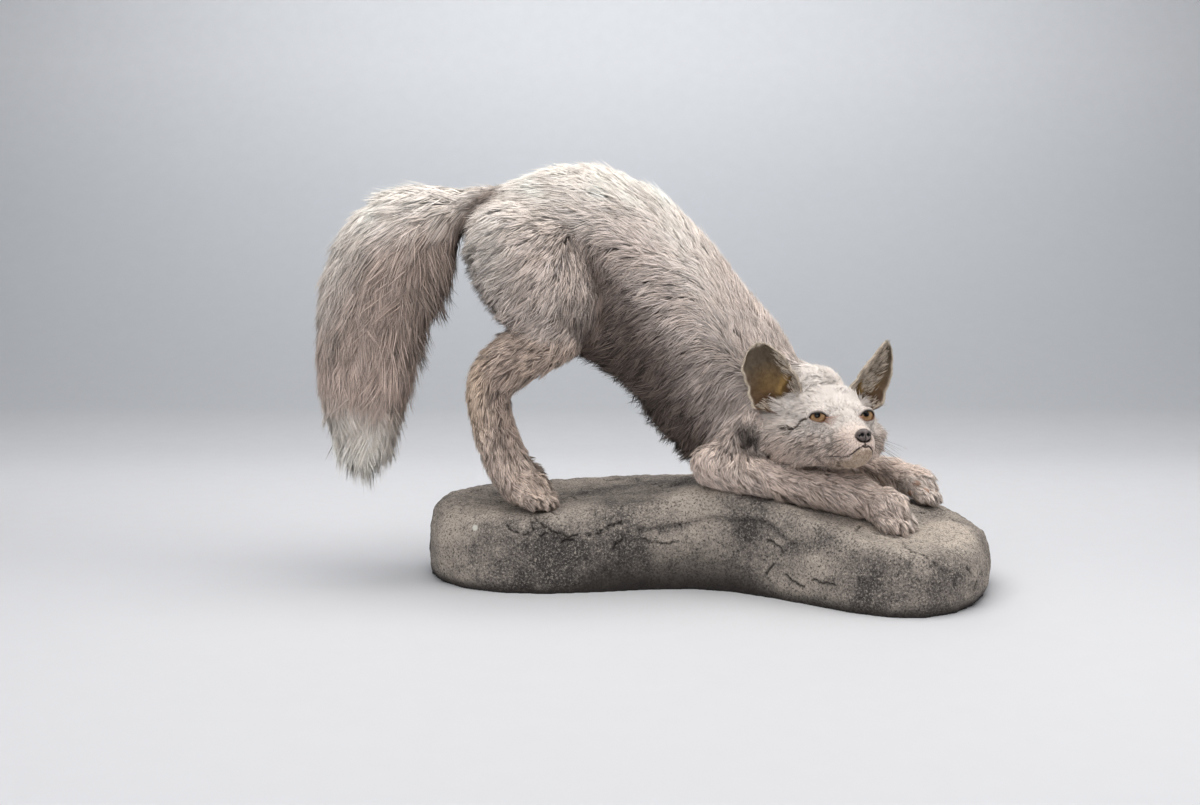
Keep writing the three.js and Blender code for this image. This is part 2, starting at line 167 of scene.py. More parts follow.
class Finish:
    """A material in the making: helpers that add its nodes to one Principled shader."""

    def __init__(self, name, roughness=0.7, **sockets):
        self.material = bpy.data.materials.new(name)
        self.material.use_nodes = True
        self.tree = self.material.node_tree
        self.shader = self.tree.nodes["Principled BSDF"]
        self.shader.inputs["Roughness"].default_value = roughness
        for key, value in sockets.items():
            self.shader.inputs[key.replace("_", " ")].default_value = value
        self.where = self.add("ShaderNodeTexCoord", {}).outputs["Object"]

    def add(self, kind, inputs, **settings):
        """One node. An input takes a value or another node's output."""
        node = self.tree.nodes.new(kind)
        for key, value in settings.items():
            setattr(node, key, value)
        for key, value in inputs.items():
            if isinstance(value, bpy.types.NodeSocket):
                self.tree.links.new(value, node.inputs[key])
            else:
                node.inputs[key].default_value = value
        return node

    def set(self, socket, value):
        self.tree.links.new(value, self.shader.inputs[socket])

    def squeezed(self, scale):
        return self.add("ShaderNodeMapping", {"Vector": self.where, "Scale": scale}).outputs["Vector"]

    def noise(self, scale, detail=2.0, rough=0.5, vector=None, distortion=0.0):
        inputs = {"Vector": vector or self.where, "Scale": scale, "Detail": detail}
        inputs.update({"Roughness": rough, "Distortion": distortion})
        return self.add("ShaderNodeTexNoise", inputs).outputs["Fac"]

    def cells(self, scale):
        inputs = {"Vector": self.where, "Scale": scale}
        return self.add("ShaderNodeTexVoronoi", inputs).outputs["Distance"]

    def math(self, operation, a, b=0.0):
        return self.add("ShaderNodeMath", {0: a, 1: b}, operation=operation).outputs[0]

    def span(self, value, low, high, to_low=0.0, to_high=1.0):
        inputs = {0: value, 1: low, 2: high, 3: to_low, 4: to_high}
        node = self.add("ShaderNodeMapRange", inputs, interpolation_type="SMOOTHSTEP")
        return node.outputs[0]

    def ramp(self, value, stops):
        node = self.add("ShaderNodeValToRGB", {"Fac": value})
        elements = node.color_ramp.elements
        while len(elements) < len(stops):
            elements.new(0.5)
        for element, (position, colour) in zip(elements, stops):
            element.position = position
            element.color = (*colour, 1.0)
        return node.outputs["Color"]

    def mix(self, factor, a, b, blend="MIX"):
        a, b = ((*c, 1.0) if isinstance(c, tuple) else c for c in (a, b))
        node = self.add("ShaderNodeMix", {0: factor, 6: a, 7: b}, data_type="RGBA", blend_type=blend)
        return node.outputs[2]

    def tint(self):
        """The colour that the coat and the skin carry at each point."""
        return self.attribute("coat_tint").outputs["Color"]

    def marks(self, name):
        """Three values that a mesh carries at each point."""
        colour = self.attribute(name).outputs["Color"]
        return self.add("ShaderNodeSeparateColor", {0: colour}).outputs

    def attribute(self, name):
        return self.add("ShaderNodeAttribute", {}, attribute_name=name)

    def bump(self, height, strength, distance, normal=None):
        inputs = {"Height": height, "Strength": strength, "Distance": distance}
        if normal:
            inputs["Normal"] = normal
        return self.add("ShaderNodeBump", inputs).outputs["Normal"]


# Height over the floor, in metres, and tone: painted light and shade that grade the pale paint.
STAGE_PAINTED_LIGHT = [(0.004, (0.850, 0.855, 0.880)), (0.048, (0.720, 0.740, 0.770)),
               (0.27, (0.745, 0.770, 0.805)), (0.555, (0.790, 0.815, 0.850)),
               (0.945, (0.905, 0.920, 0.945))]
# Painted shade on the floor's front.
FLOOR_FRONT_SHADE = (0.645, 0.650, 0.675)  # of the floor's front


def stage_finish():
    """Pale paint with painted light and shade: light floor, a greyer band where it turns up, lighter
    again above, and painted shade on the floor's front.
    """
    f = Finish("pale_stage", 0.7)
    at = f.add("ShaderNodeSeparateXYZ", {0: f.where}).outputs
    tone = f.ramp(at["Z"], STAGE_PAINTED_LIGHT)
    tone = f.mix(f.span(at["Y"], 0.0, 1.0), FLOOR_FRONT_SHADE, tone)
    grain = f.noise(30, 3)
    f.set("Base Color", f.mix(f.span(grain, 0.3, 0.7, 0.0, 0.04), tone, (0.5, 0.5, 0.5)))
    return f.material


FLOOR_WIDE, FLOOR_DEEP, FLOOR_BACK = 9, 6.0, -1.8
CURVE_RADIUS, CURVE_STEPS, WALL_HIGH = 1.5, 24, 3.0


def make_backdrop():
    """A floor that curves up into a wall."""
    bpy.ops.mesh.primitive_plane_add(size=1)
    floor = bpy.context.active_object
    floor.name = "stage_floor"
    bpy.ops.object.mode_set(mode="EDIT")
    bpy.ops.transform.resize(value=(FLOOR_WIDE, FLOOR_DEEP, 1))
    bpy.ops.transform.translate(value=(0, FLOOR_BACK, 0))
    bpy.ops.object.mode_set(mode="OBJECT")
    for edge in floor.data.edges:
        edge.select = all(floor.data.vertices[i].co.y > 1.0 for i in edge.vertices)
    for vertex in floor.data.vertices:
        vertex.select = vertex.co.y > 1.0
    bpy.ops.object.mode_set(mode="EDIT")
    arc = CURVE_RADIUS * math.radians(90) / CURVE_STEPS
    for i in range(CURVE_STEPS):
        angle = math.radians(90) * (i + 0.5) / CURVE_STEPS
        move = (0, arc * math.cos(angle), arc * math.sin(angle))
        bpy.ops.mesh.extrude_region_move(TRANSFORM_OT_translate={"value": move})
    bpy.ops.mesh.extrude_region_move(TRANSFORM_OT_translate={"value": (0, 0, WALL_HIGH)})
    bpy.ops.object.mode_set(mode="OBJECT")
    bpy.ops.object.shade_smooth()
    floor.data.materials.append(stage_finish())


deselect()
make_backdrop()
world = bpy.data.worlds.new("studio")
bpy.context.scene.world = world
world.use_nodes = True
sky = world.node_tree.nodes["Background"].inputs
sky["Color"].default_value = (0.86, 0.92, 1.0, 1)
sky["Strength"].default_value = 0.5

# ------------------------------------------------------------------ meshes as arrays


def arrays(obj):
    """Points in drawing millimetres, and triangles."""
    mesh = obj.data
    co = np.empty(len(mesh.vertices) * 3, np.float32)
    mesh.vertices.foreach_get("co", co)
    mesh.calc_loop_triangles()
    tri = np.empty(len(mesh.loop_triangles) * 3, np.int32)
    mesh.loop_triangles.foreach_get("vertices", tri)
    return drawn(co.reshape(-1, 3)), tri.reshape(-1, 3)


def edges_of(obj):
    e = np.empty(len(obj.data.edges) * 2, np.int32)
    obj.data.edges.foreach_get("vertices", e)
    return e.reshape(-1, 2)


def set_points(obj, points):
    obj.data.vertices.foreach_set("co", place(points).astype(np.float32).ravel())
    obj.data.update()


def normals_of(points, tri):
    a, b, c = (points[tri[:, i]] for i in range(3))
    face = np.cross(b - a, c - a)
    out = np.zeros_like(points)
    for i in range(3):
        for k in range(3):
            out[:, k] += np.bincount(tri[:, i], face[:, k], len(points))
    return unit(out)


def soften(values, edges, rounds, weight=1.0):
    """Draws each value towards the mean of its neighbours, a number of times."""
    values = np.array(values, float)
    flat = values.reshape(len(values), -1)
    weight = np.broadcast_to(weight, (len(flat),))
    degree = np.maximum(np.bincount(edges.ravel(), minlength=len(flat)), 1)
    for _ in range(rounds):
        for k in range(flat.shape[1]):
            total = np.bincount(edges[:, 0], flat[edges[:, 1], k], len(flat))
            total += np.bincount(edges[:, 1], flat[edges[:, 0], k], len(flat))
            flat[:, k] += 0.5 * weight * (total / degree - flat[:, k])
    return flat.reshape(values.shape)


def new_mesh(name, points, faces, material):
    """Points in drawing millimetres; faces as lists of corners."""
    mesh = bpy.data.meshes.new(name)
    mesh.from_pydata(place(points).tolist(), [], [list(map(int, f)) for f in faces])
    mesh.update()
    obj = bpy.data.objects.new(name, mesh)
    bpy.context.scene.collection.objects.link(obj)
    mesh.materials.append(material)
    mesh.polygons.foreach_set("use_smooth", [True] * len(mesh.polygons))
    return obj


def edit(obj, *steps):
    """Works on all of a mesh in edit mode, step by step."""
    pick(obj)
    bpy.ops.object.mode_set(mode="EDIT")
    bpy.ops.mesh.select_all(action="SELECT")
    for step in steps:
        step()
    bpy.ops.object.mode_set(mode="OBJECT")
    return obj


def weld():
    bpy.ops.mesh.remove_doubles(threshold=WELD)


def face_out():
    bpy.ops.mesh.normals_make_consistent(inside=False)


def join(name, pieces):
    """Makes one mesh of the pieces."""
    pick(*pieces)
    bpy.ops.object.join()
    whole = bpy.context.active_object
    whole.name = name
    return whole


def smooth(obj):
    pick(obj)
    bpy.ops.object.shade_smooth()


def own_copy(name, sources):
    """One mesh out of copies of the part's solids, free of all that the solids carry."""
    pick(*[nodes[n] for n in sources])
    bpy.ops.object.duplicate()
    copies = list(bpy.context.selected_objects)
    for o in copies:
        o.parent = None
    whole = join(name, copies) if len(copies) > 1 else copies[0]
    whole.name = name
    for key in list(whole.keys()):
        del whole[key]
    return edit(whole, weld)


def ball(at, size, *turns):
    """A ball at a place of the drawing, with its three half-sizes in millimetres, turned."""
    bpy.ops.mesh.primitive_uv_sphere_add(segments=24, ring_count=16, radius=1)
    matrix = Matrix.Translation(place(at))
    for turn in turns:
        matrix = matrix @ turn
    made = bpy.context.active_object
    made.matrix_world = matrix @ Matrix.Diagonal((*(np.array(size) * MM), 1))
    return made


def paint(obj, name, values):
    """Keeps three values, or a colour, at each point of a mesh."""
    layer = obj.data.color_attributes.new(name, "FLOAT_COLOR", "POINT")
    rgba = np.ones((len(values), 4), np.float32)
    rgba[:, :3] = values
    layer.data.foreach_set("color", rgba.ravel())


def refinish(obj, material):
    """Gives a piece one finish all over."""
    obj.data.materials.clear()
    obj.data.materials.append(material)


def hand_over(piece, slot, *stands_for):
    """Hides the solids that a finished piece stands for, and hangs it on the root, which carries it;
    slot, what it is made of, is not used.
    """
    if stands_for:
        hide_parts(*stands_for)
    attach(piece, "root")


def modify(obj, kind, **settings):
    pick(obj)
    modifier = obj.modifiers.new(kind.lower(), kind)
    for key, value in settings.items():
        setattr(modifier, key, value)
    bpy.ops.object.modifier_apply(modifier=modifier.name)


def grid_faces(rows, columns):
    """Faces of a grid whose columns run round."""
    faces = []
    for r in range(rows - 1):
        for c in range(columns):
            a, b, d = r * columns, (r + 1) * columns, (c + 1) % columns
            faces.append((a + c, a + d, b + d, b + c))
    return faces


def tube(name, line, radii, material, sides=8):
    """A closed round bar along a line, its radius given at each point."""
    line = np.asarray(line, float)
    radii = np.broadcast_to(radii, (len(line),))
    ahead = unit(np.gradient(line, axis=0))
    side = unit(np.cross(ahead, (0.31, 0.2, 0.93)))
    rise = np.cross(side, ahead)
    points = []
    for p, s, u, r in zip(line, side, rise, radii):
        for k in range(sides):
            a = 2 * math.pi * k / sides
            points.append(p + r * (math.cos(a) * s + math.sin(a) * u))
    last = (len(line) - 1) * sides
    faces = grid_faces(len(line), sides)
    faces += [tuple(range(sides))[::-1], tuple(range(last, last + sides))]
    return edit(new_mesh(name, points, faces, material), face_out)


def near_tree(points):
    """A tree that finds the nearest of the points."""
    tree = KDTree(len(points))
    for i, p in enumerate(points.tolist()):
        tree.insert(p, i)
    tree.balance()
    return tree


def nearest_of(line, points):
    """For each point, the number of the nearest of the line's points, and its distance."""
    tree = near_tree(line)
    found = [tree.find(p)[1:] for p in points.tolist()]
    return np.array([f[0] for f in found]), np.array([f[1] for f in found])


def curve_through(points, count):
    """Smooth run of points through the given ones."""
    points = np.asarray(points, float)
    padded = np.vstack((2 * points[0] - points[1], points, 2 * points[-1] - points[-2]))
    out = []
    for t in np.linspace(0, len(points) - 1 - 1e-6, count):
        i, u = int(t), t - int(t)
        p0, p1, p2, p3 = padded[i : i + 4]
        bend = (2 * p1 + (p2 - p0) * u + (2 * p0 - 5 * p1 + 4 * p2 - p3) * u * u
                + (3 * p1 - p0 - 3 * p2 + p3) * u**3)
        out.append(0.5 * bend)
    return np.array(out)


# ------------------------------------------------------------------ markings

CREAM = np.array((0.94, 0.865, 0.80))
WHITE = np.array((0.70, 0.645, 0.605))
FLANK = np.array((0.74, 0.635, 0.58))
LOW_FLANK_SHADE = np.array((0.27, 0.215, 0.19))
THIGH = np.array((0.70, 0.595, 0.535))
TAN = np.array((0.84, 0.69, 0.605))
LEG = np.array((0.62, 0.49, 0.41))
WARM = np.array((0.80, 0.62, 0.48))
SMOKE = np.array((0.235, 0.178, 0.150))
BELLY_FUR_AND_SHADE = np.array((0.125, 0.095, 0.080))
BRUSH = np.array((0.48, 0.38, 0.33))
BRUSH_TIP = np.array((0.96, 0.90, 0.83))
CHEEK = np.array((0.60, 0.46, 0.38))
MUZZLE = np.array((0.88, 0.735, 0.655))
CHIN = np.array((0.58, 0.45, 0.34))
PINK = np.array((0.50, 0.27, 0.19))
BLACK_RIM = np.array((0.022, 0.016, 0.014))

BACK_LINE = [(-178, 443), (-136, 447), (-89, 465), (-45, 470), (0, 465), (45, 447), (78, 418),
             (112, 368), (140, 318), (163, 268), (181, 228), (215, 219)]
TAIL_OUTER = [(-145, 444), (-178, 444), (-223, 433), (-263, 415), (-291, 387), (-308, 352),
              (-318, 296), (-322, 228), (-322, 190)]
# Where the tail meets the rump: partly dark fur, partly painted shade of the notch there.
TAIL_STREAK = [(-104, 434), (-132, 424), (-151, 406), (-160, 376), (-163, 350)]
TAIL_INNER = [(-183, 385), (-190, 350), (-203, 290), (-216, 235)]
LEG_STREAK = [(-96, 268), (-108, 240), (-112, 215), (-106, 185), (-98, 160)]
# Fold where the flank meets the thigh, darkened with painted shade.
FOLD = [(-34, 386), (-16, 372), (-6, 350), (0, 328), (3, 306), (0, 282)]
GROOVE = [(-4, -58, 340), (2, -54, 308), (0, -48, 284)]
# Hollow behind the near cheek: sunk into the skin, and darkened with painted shade.
NECK_GAP = (164, -68, 165)
# In the head's axes, here and where a table says so.
CROWN = (-44, 3, 42)
NOSE_SEAT = (66, 0, -25)
# Dark hairs from the outer corner of the eye down the cheek (left side).
EYE_STREAK = [(-0.5, 33.6, -2.2), (-4.5, 37, -2.4), (-7.5, 39.4, -2.8), (-11.1, 41.5, -4.6),
              (-12.8, 44.3, -8.2), (-15.4, 49.8, -10.0), (-19.4, 53.3, -10.6), (-23.9, 56.6, -10.8)]


def from_line(points, line, columns=(0, 2)):
    """Distance of each point from a line of points, in the side view."""
    p = points[:, columns]
    best = np.full(len(p), 1e9)
    for a, b in zip(np.array(line, float)[:-1], np.array(line, float)[1:]):
        ab = b - a
        t = np.clip(((p - a) @ ab) / (ab @ ab), 0, 1)
        best = np.minimum(best, np.linalg.norm(p - a - t[:, None] * ab, axis=1))
    return best


def blend(colour, other, share):
    """The colours drawn towards another by a share at each point."""
    return colour + (other - colour) * np.asarray(share)[:, None]


# ------------------------------------------------------------------ skin

REGIONS = ["trunk", "neck", "tail", "thigh", "shank", "metatarsus", "hindfoot", "upper_arm",
           "forearm", "forepaw", "head"]
# Coat depth, lock length, lock half-width, and share of the smoothing.
BUILD = {
    "trunk": (10.5, 26, 0.62, 1.0),
    "neck": (10, 24, 0.62, 1.0),
    "tail": (16, 46, 0.72, 1.0),
    "thigh": (8.5, 22, 0.60, 1.0),
    "shank": (6.0, 18, 0.50, 0.5),
    "metatarsus": (4.6, 15, 0.45, 0.4),
    "hindfoot": (2.0, 9.5, 0.42, 0.10),
    "upper_arm": (7, 19, 0.58, 0.6),
    "forearm": (4.8, 15, 0.46, 0.4),
    "forepaw": (2.0, 10, 0.42, 0.10),
    "head": (3.4, 9, 0.38, 0.16),
}
DEPTH, LENGTH, HALF, SMOOTHING = range(4)
FLESH = [n for n in nodes if not n.startswith(("base_rock", "nose", "eye_", "ear_"))]
FILLING = ["nose", "eye_right", "eye_left"]
SKIN_VOXEL = 1.6 * MM
SKIN_ROUNDS = 44  # of smoothing, where a region takes its full share
SKIN_KEPT = 0.27  # share of its faces that the skin keeps


def region_of(name):
    if name.startswith("tail"):
        return REGIONS.index("tail")
    return REGIONS.index(name.rsplit("_", 1)[0] if name.endswith(("_right", "_left")) else name)


def among(region, *names):
    """Whether each point is in one of the named regions."""
    return np.isin(region, [REGIONS.index(n) for n in names])


def built(region, column):
    """A column of BUILD, for the region of each point."""
    return np.array([BUILD[r][column] for r in REGIONS], float)[region]


# The right eye: a ball, its middle and its gaze, in the head's axes; the left one is its mirror
# image but for the gaze.
EYEBALL_AT = np.array((3.3, -25.1, -2.8))
EYEBALL = 10.5
GAZE = {-1: (0.87, -0.42, 0.26), 1: (0.965, -0.071, 0.27)}
# Ways from the ball's middle to the edge of the opening, from the outer corner over the top and
# back, each written for a right eye.
EYE_RIM = {
    -1: [(0.20, -0.97, 0.02), (0.45, -0.80, 0.34), (0.76, -0.44, 0.46), (0.90, 0.02, 0.41),
         (0.82, 0.57, -0.02), (0.88, 0.22, -0.38), (0.86, -0.28, -0.42), (0.62, -0.74, -0.26)],
    1: [(0.30, -0.93, 0.12), (0.44, -0.76, 0.40), (0.70, -0.28, 0.52), (0.82, 0.22, 0.43),
        (0.82, 0.56, 0.02), (0.89, 0.18, -0.36), (0.86, -0.31, -0.36), (0.66, -0.72, -0.22)],
}


def eyeball_at(side):
    return EYEBALL_AT * (1, -side, 1)


def eye_rim(side, grow=0.6, count=48):
    """Edge of the opening between the lids, closed, over the ball by grow."""
    ways = unit(curve_through(EYE_RIM[side] + EYE_RIM[side][:1], count + 1)[:-1])
    return eyeball_at(side) + ways * (1, -side, 1) * (EYEBALL + grow)


def from_lids(points, side):
    """For points in the head's axes: distance outside the edge of the opening, along the ball
    (inside it below zero), and how far up the eye each one lies, from -1 to 1."""
    ways = unit(eye_rim(side) - eyeball_at(side))
    ahead = unit(ways.mean(0))
    over = unit(np.cross(ahead, (0, 1, 0)) * -1)
    if over[2] < 0:
        over = -over
    across = np.cross(over, ahead)

    def polar(v):
        angle = np.arccos(np.clip(v @ ahead, -1, 1))
        return angle, np.arctan2(v @ over, v @ across)

    rim_angle, rim_turn = polar(ways)
    order = np.argsort(rim_turn)
    whole = 2 * math.pi
    turns = np.concatenate((rim_turn[order] - whole, rim_turn[order], rim_turn[order] + whole))
    angle, turn = polar(unit(points - eyeball_at(side)))
    edge = np.interp(turn, turns, np.tile(rim_angle[order], 3))
    return (angle - edge) * EYEBALL, np.sin(turn)


def make_skin_form():
    """The nodes of flesh, swelled a little so that they run together, as one form. The eyes' orbits,
    the nape and the toes are filled out with balls."""
    form = own_copy("fox_skin", FLESH + FILLING)
    modify(form, "DISPLACE", strength=0.0005, mid_level=0.0)
    filling = []
    for side, _ in SIDES:
        splay = Matrix.Rotation(math.radians(side * 35), 4, "Z")
        filling.append(ball(from_head((11.0, side * 28.5, -2.5)), (8.5, 9.0, 7.5), HEAD_TURNED, splay))
    filling.append(ball(from_head((-36.0, 7.0, 20.0)), (19, 30, 13), HEAD_TURNED))
    for name in FEET:
        turned = Matrix(foot_axes(name).tolist()).to_4x4()
        filling += [ball(from_foot(at, name), TOE_SIZE, turned) for at in toes_of(name)]
    join("fox_skin", [form, *filling])
    modify(form, "REMESH", mode="VOXEL", voxel_size=SKIN_VOXEL)
    return form


def flesh_tree():
    """One tree of the flesh solids' faces, and the region of each face."""
    points, faces, regions = [], [], []
    count = 0
    for name in FLESH:
        p, t = arrays(nodes[name])
        points.append(p)
        faces.append(t + count)
        regions += [region_of(name)] * len(t)
        count += len(p)
    points = np.vstack(points)
    tree = BVHTree.FromPolygons(points.tolist(), np.vstack(faces).tolist())
    return tree, np.array(regions)


coat_tree, face_regions = flesh_tree()


def nearest(tree, points):
    """Number of the nearest face of a tree, and its distance, for each point."""
    found = [tree.find_nearest(p)[2:] for p in points.tolist()]
    return np.array([f[0] for f in found]), np.array([f[1] for f in found])


def regions_of(points):
    return face_regions[nearest(coat_tree, points)[0]]


def coat_depth(points, region):
    """How far the skin lies inside the coat's outside."""
    depth = built(region, DEPTH)
    depth = np.where(among(region, "tail"), 4 + 12 * smoothstep(-120, -200, points[:, 0]), depth)
    h = to_head(points)
    depth = depth * (1 - 0.55 * (1 - smoothstep(22, 58, how_far(h, CROWN))))
    face = 3.4 - 2.2 * smoothstep(6, 38, h[:, 0]) + 4.0 * smoothstep(34, 54, np.abs(h[:, 1]))
    for side, _ in SIDES:
        away = how_far(h, eyeball_at(side))
        face *= 0.12 + 0.88 * smoothstep(12, 24, away)
    face *= 0.15 + 0.85 * smoothstep(9, 18, how_far(h, NOSE_SEAT))
    return np.where(among(region, "head"), face, depth)


# Mouth, from the middle of the upper lip to the corner, in the head's axes (right side).
MOUTH = [(69.5, 0, -36.4), (69, -3.4, -37.2), (66.5, -7.0, -39.4), (61.5, -10.2, -43.2),
         (54, -12.2, -45.6), (45, -14.2, -46.4), (34, -16.8, -45.9), (22, -20.8, -45.0),
         (12, -27.0, -45.2)]


def mouth_line(count=60):
    right = curve_through(MOUTH, count)
    return np.vstack((right[::-1], (right * (1, -1, 1))[1:]))


UPPER_LID, LOWER_LID = 1.9, 1.2  # how thick each is, over the ball


def shape_eyes(points):
    """Opens the lids over both balls."""
    h = to_head(points)
    for side, _ in SIDES:
        near = np.where(how_far(h, eyeball_at(side)) < 26)[0]
        way = h[near] - eyeball_at(side)
        far = np.linalg.norm(way, axis=1)
        out, up = from_lids(h[near], side)
        thick = np.where(up > 0, UPPER_LID, LOWER_LID)
        lid = EYEBALL + 0.35 + thick * smoothstep(0.0, 1.6, out)
        fold = 1.0 * bell((out - 3.4) / 0.9) * smoothstep(0.1, 0.6, up)
        inside = EYEBALL - 3.2 * smoothstep(0.2, -1.6, out) + 0.35
        aim = np.where(out > 0, lid - fold, inside)
        share = 1 - smoothstep(2.5, 9.5, out)
        new = far + (aim - far) * share
        h[near] = eyeball_at(side) + way * (new / far)[:, None]
    return from_head(h)


# Brow, whisker pad, hollow beside the nose, and crease of the cheek: middle, reach and rise.
FACE_FORMS = [((6, 27, 11), (10, 12, 4), 1.3), ((55, 9, -33), (12, 6, 6), 1.3),
              ((32, 14, -10), (12, 7, 8), -1.2), ((10, 40, -15), (12, 9, 4), -1.0)]


def shape_face(points, normals):
    """Folds of the face, by moving the skin's points along its normals."""
    h = to_head(points)
    near = np.where(how_far(h, (40, 0, -25)) < 75)[0]
    q = h[near]
    _, lips = nearest_of(mouth_line(), q)
    move = -1.9 * bell(lips / 1.2)
    move += 0.9 * bell((lips - 3.0) / 1.8) * (q[:, 2] > -44)
    seam = np.abs(q[:, 1]) + 10 * smoothstep(-30, -27, q[:, 2]) + 10 * smoothstep(-37, -39, q[:, 2])
    move -= 1.1 * bell(seam / 1.0) * (q[:, 0] > 55)
    for side, _ in SIDES:
        for at, reach, rise in FACE_FORMS:
            move += rise * bell(how_far(q, np.array(at) * (1, side, 1), reach))
    seat = how_far(q, NOSE_SEAT, (8.5, 9.5, 8.5))
    move -= 4.8 * smoothstep(1.12, 0.7, seat)
    points[near] += normals[near] * move[:, None]
    return points


# Feet: middle, heading and dip in degrees, half-length, half-width and half-depth.
FEET = {
    "forepaw_right": ((304, -100, 99), -46, 24, 27, 23, 23),
    "forepaw_left": ((358, 6, 111), -24, 24, 26, 20, 20),
    "hindfoot_right": ((-84, -42, 111), -28, 13, 29, 20, 22),
    "hindfoot_left": ((-93, 42, 111), 20, 13, 29, 20, 22),
}
TOE_GAP = 0.56  # share of the half-width from one toe to the next
TOE_SIZE = (12.5, 7.4, 8.6)


def foot_axes(name):
    _, heading, dip, *_ = FEET[name]
    turn = Matrix.Rotation(math.radians(heading), 3, "Z") @ Matrix.Rotation(math.radians(dip), 3, "Y")
    return np.array(turn)


def in_foot(points, name):
    """Points brought into a foot's own axes: ahead, to the left and up."""
    return (points - FEET[name][0]) @ foot_axes(name)


def from_foot(points, name):
    return np.asarray(points, float) @ foot_axes(name).T + FEET[name][0]


def toes_of(name):
    """Middles of a foot's four toes, in its own axes."""
    _, _, _, long, wide, deep = FEET[name]
    return [np.array((long * (0.80 - 0.09 * lane * lane), lane * wide * TOE_GAP,
                      -deep * (0.22 + 0.04 * lane * lane))) for lane in (-1.5, -0.5, 0.5, 1.5)]


def beside_toe(across, wide):
    """Distance of each point from the nearest gap between two toes, in gaps; 1 outside the toes."""
    lane = across / (wide * TOE_GAP)
    return np.where(np.abs(lane) > 1.45, 1.0, np.abs(lane - np.round(lane)))


def shape_feet(points, normals):
    """Deepens the clefts between the toes, and raises each toe's knuckle."""
    for name, (_, _, _, long, wide, deep) in FEET.items():
        q = in_foot(points, name)
        near = np.where((np.abs(q) < (long * 1.6, wide * 1.4, deep * 1.3)).all(1))[0]
        x, y, _ = q[near].T
        cleft = beside_toe(y, wide)
        move = -3.2 * smoothstep(0.05, 0.6, x / long) * bell(cleft / 0.16)
        move += 1.6 * (bell((cleft - 0.5) / 0.22) * bell((x / long - 0.55) / 0.2))
        points[near] += normals[near] * move[:, None]
    return points


def refine(obj, centres, radius):
    """Splits the edges near the given points in two."""
    pick(obj)
    tree = near_tree(place(centres))
    mesh = bmesh.new()
    mesh.from_mesh(obj.data)
    chosen = [e for e in mesh.edges
              if tree.find((e.verts[0].co + e.verts[1].co) / 2)[2] < radius * MM]
    bmesh.ops.subdivide_edges(mesh, edges=chosen, cuts=1, use_grid_fill=True)
    bmesh.ops.triangulate(mesh, faces=[f for f in mesh.faces if len(f.verts) > 3])
    mesh.to_mesh(obj.data)
    mesh.free()
    obj.data.update()


def sink_skin(form):
    """Runs the flesh together into the coat's outside, and sinks the skin under it by the coat's depth.
    Gives back the skin's points and the outside."""
    points, tri = arrays(form)
    edges = edges_of(form)
    region = regions_of(points)
    share = soften(built(region, SMOOTHING), edges, 10)
    points = soften(points, edges, SKIN_ROUNDS, np.clip(share, 0, 1))
    outside = BVHTree.FromPolygons(points.tolist(), tri.tolist())
    normals = unit(soften(normals_of(points, tri), edges, 6))
    depth = soften(coat_depth(points, region), edges, 40)
    gap = how_far(points, NECK_GAP, (14, 22, 14))
    sunk = 12 * bell(gap) + 4.5 * bell(from_line(points, GROOVE, (0, 1, 2)) / 8)
    points = points - normals * (depth + sunk)[:, None]
    # the skin of the brush ends well above its hair's tip
    points[:, 2] += np.where(among(region, "tail"), 46 * smoothstep(215, 105, points[:, 2]), 0)
    points = soften(points, edges, 4, 0.5)
    set_points(form, points)
    return points, outside


def thin_skin(form, points):
    """Takes faces away, most of them from the body, and hardly any from the face and the feet."""
    coarse = smoothstep(0.95, 1.15, how_far(to_head(points), (10, 0, -20), (75, 62, 50)))
    for name, (_, _, _, long, *_) in FEET.items():
        coarse *= smoothstep(1.2, 1.6, np.linalg.norm(in_foot(points, name), axis=1) / long)
    group = form.vertex_groups.new(name="body")
    for level in np.linspace(0.2, 1.0, 5):
        chosen = np.where(np.abs(coarse - level) <= 0.1001)[0]
        group.add(chosen.tolist(), float(level), "REPLACE")
    modify(form, "DECIMATE", ratio=SKIN_KEPT, vertex_group="body", vertex_group_factor=6.0)


def make_skin():
    """The fox's skin, with its face and feet shaped, and the outside of the coat that goes over it."""
    form = make_skin_form()
    points, outside = sink_skin(form)
    thin_skin(form, points)
    eyes = from_head(np.vstack([eye_rim(side) for side, _ in SIDES]))
    lips = from_head(mouth_line()[18:-18])
    refine(form, np.vstack((eyes, lips, from_head([NOSE_SEAT]))), 8.5)
    refine(form, eyes, 5.0)
    points, tri = arrays(form)
    points = soften(points, edges_of(form), 3, 0.5)
    points = shape_eyes(points)
    points = shape_face(points, normals_of(points, tri))
    points = shape_feet(points, normals_of(points, tri))
    set_points(form, points)
    smooth(form)
    return form, outside


skin, coat_outside = make_skin()


class Ground:
    """A surface that hair grows on, with what it tells the hair at each of its points."""

    def __init__(self, obj):
        self.points, self.tri = arrays(obj)
        self.edges = edges_of(obj)
        self.normals = unit(soften(normals_of(self.points, self.tri), self.edges, 2))
        self.tree = BVHTree.FromPolygons(self.points.tolist(), self.tri.tolist())
        a, b, c = (self.points[self.tri[:, i]] for i in range(3))
        self.areas = np.linalg.norm(np.cross(b - a, c - a), axis=1) / 2
        self.free = np.full(len(self.points), 0.2)
        self.face = self.normals
        self.streak = np.full(len(self.points), 1.0)
        self.end = np.zeros(len(self.points))

    def soft(self, values, rounds):
        return soften(values, self.edges, rounds)

    def along(self, way):
        """The given ways, laid flat on the surface."""
        return unit(way - self.normals * (way * self.normals).sum(1)[:, None])


body = Ground(skin)
body.region = regions_of(body.points)
body.depth = np.minimum(nearest(coat_outside, body.points)[1], 1.1 * coat_depth(body.points, body.region))


